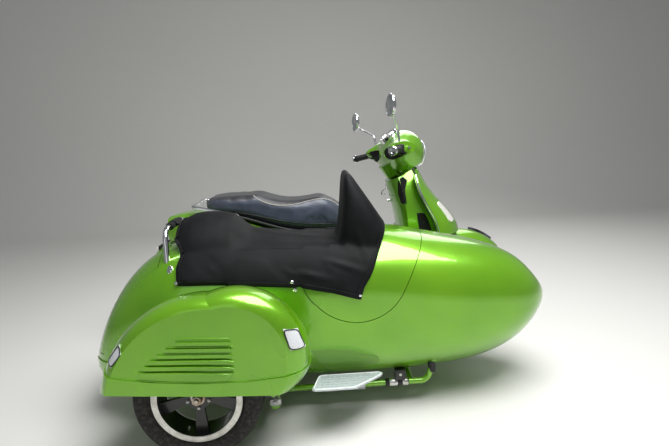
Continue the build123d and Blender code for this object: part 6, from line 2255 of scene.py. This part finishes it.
@dataclass
class Studio:
    """Pale floor, backdrop and soft lamps."""

    floor_size: float = 14.0
    floor_shift: float = 1.5
    wall_height: float = 6.0
    fold: float = 1.6
    tone: str = "d9d8d4"
    second_tone: str = "d3d2ce"
    # Place, aim, side in metres and watts of each lamp
    lamps: Tuple[Tuple[str, Point, Point, float, float], ...] = (
        ("sky", (0.7, -0.9, 3.4), (0, -0.1, 0.5), 2.4, 190),
        ("front", (-1.6, -4.2, 2.4), (0, 0, 0.5), 2.4, 10), ("back", (1.5, 3, 3), (0, 0.2, 0.5), 2.2, 40),
    )
    room: str = "e8ebee"
    room_strength: float = 0.24

    def ground(self) -> None:
        """Floor that turns up into a backdrop."""
        built = bmesh.new()
        made = bmesh.ops.create_grid(built, x_segments=1, y_segments=1, size=self.floor_size / 2)
        far = [edge for edge in built.edges if all(vert.co.y > 1 for vert in edge.verts)]
        back = [vert for vert in made["verts"] if vert.co.y > 1]
        bmesh.ops.translate(built, vec=RIGHTWARD * self.floor_shift, verts=back)
        raised = bmesh.ops.extrude_edge_only(built, edges=far)
        top = [item for item in raised["geom"] if isinstance(item, Vert)]
        bmesh.ops.translate(built, vec=UPWARD * self.wall_height, verts=top)
        foot = [edge for edge in built.edges if all(v.co.z < 0.1 and v.co.y > 1 for v in edge.verts)]
        soften(built, foot, self.fold, 16)
        for face in built.faces:
            face.smooth = True
        mesh = mesh_of(built, "studio_floor")
        finish = PlainCoat("pale_floor", self.tone, roughness=0.6, second=self.second_tone)
        mesh.materials.append(finish.build())
        stand("studio_floor", mesh)

    def lamp(self, name: str, place: Point, aim: Point, size: float, power: float) -> None:
        """Square soft lamp.

        Args:
            name: Its name.
            place: Where it stands.
            aim: Where it points.
            size: Its side, in metres.
            power: Its watts.
        """
        light = bpy.data.lights.new(name, "AREA")
        light.size = size
        light.energy = power
        holder = stand(name, light)
        holder.location = place
        holder.rotation_euler = (Vector(aim) - Vector(place)).to_track_quat("-Z", "Y").to_euler()

    def build(self) -> None:
        """Floor, lamps, world and camera."""
        self.ground()
        for lamp in self.lamps:
            self.lamp(*lamp)
        world = bpy.data.worlds.new("soft_room")
        world.use_nodes = True
        ground = world.node_tree.nodes["Background"]
        ground.inputs["Color"].default_value = linear(self.room)
        ground.inputs["Strength"].default_value = self.room_strength
        bpy.context.scene.world = world
        bpy.context.scene.view_settings.view_transform = "Standard"
        EYE.camera()


def main() -> None:
    """Builds every sub-assembly in order."""
    logging.basicConfig(level=logging.INFO, format="%(name)s: %(message)s")
    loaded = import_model()
    FRAME.update(loaded)
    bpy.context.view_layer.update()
    dress_frame(loaded)
    for wheel in (
        RoadWheel("front", "front_wheel", FRONT_AXLE_X, SCOOTER_Y, True),
        RoadWheel("rear", "rear_wheel", REAR_AXLE_X, SCOOTER_Y),
        RoadWheel("sidecar", "sidecar_wheel", SIDECAR_X, SIDECAR_WHEEL_Y),
    ):
        wheel.build()
    for assembly in (
        TonneauCover(), Hoop(), Saddle(), SidecarBody(), Cockpit(), Front(), Running(), Studio()
    ):
        LOG.info("building %s", type(assembly).__name__)
        assembly.build()


if __name__ == "__main__":
    main()
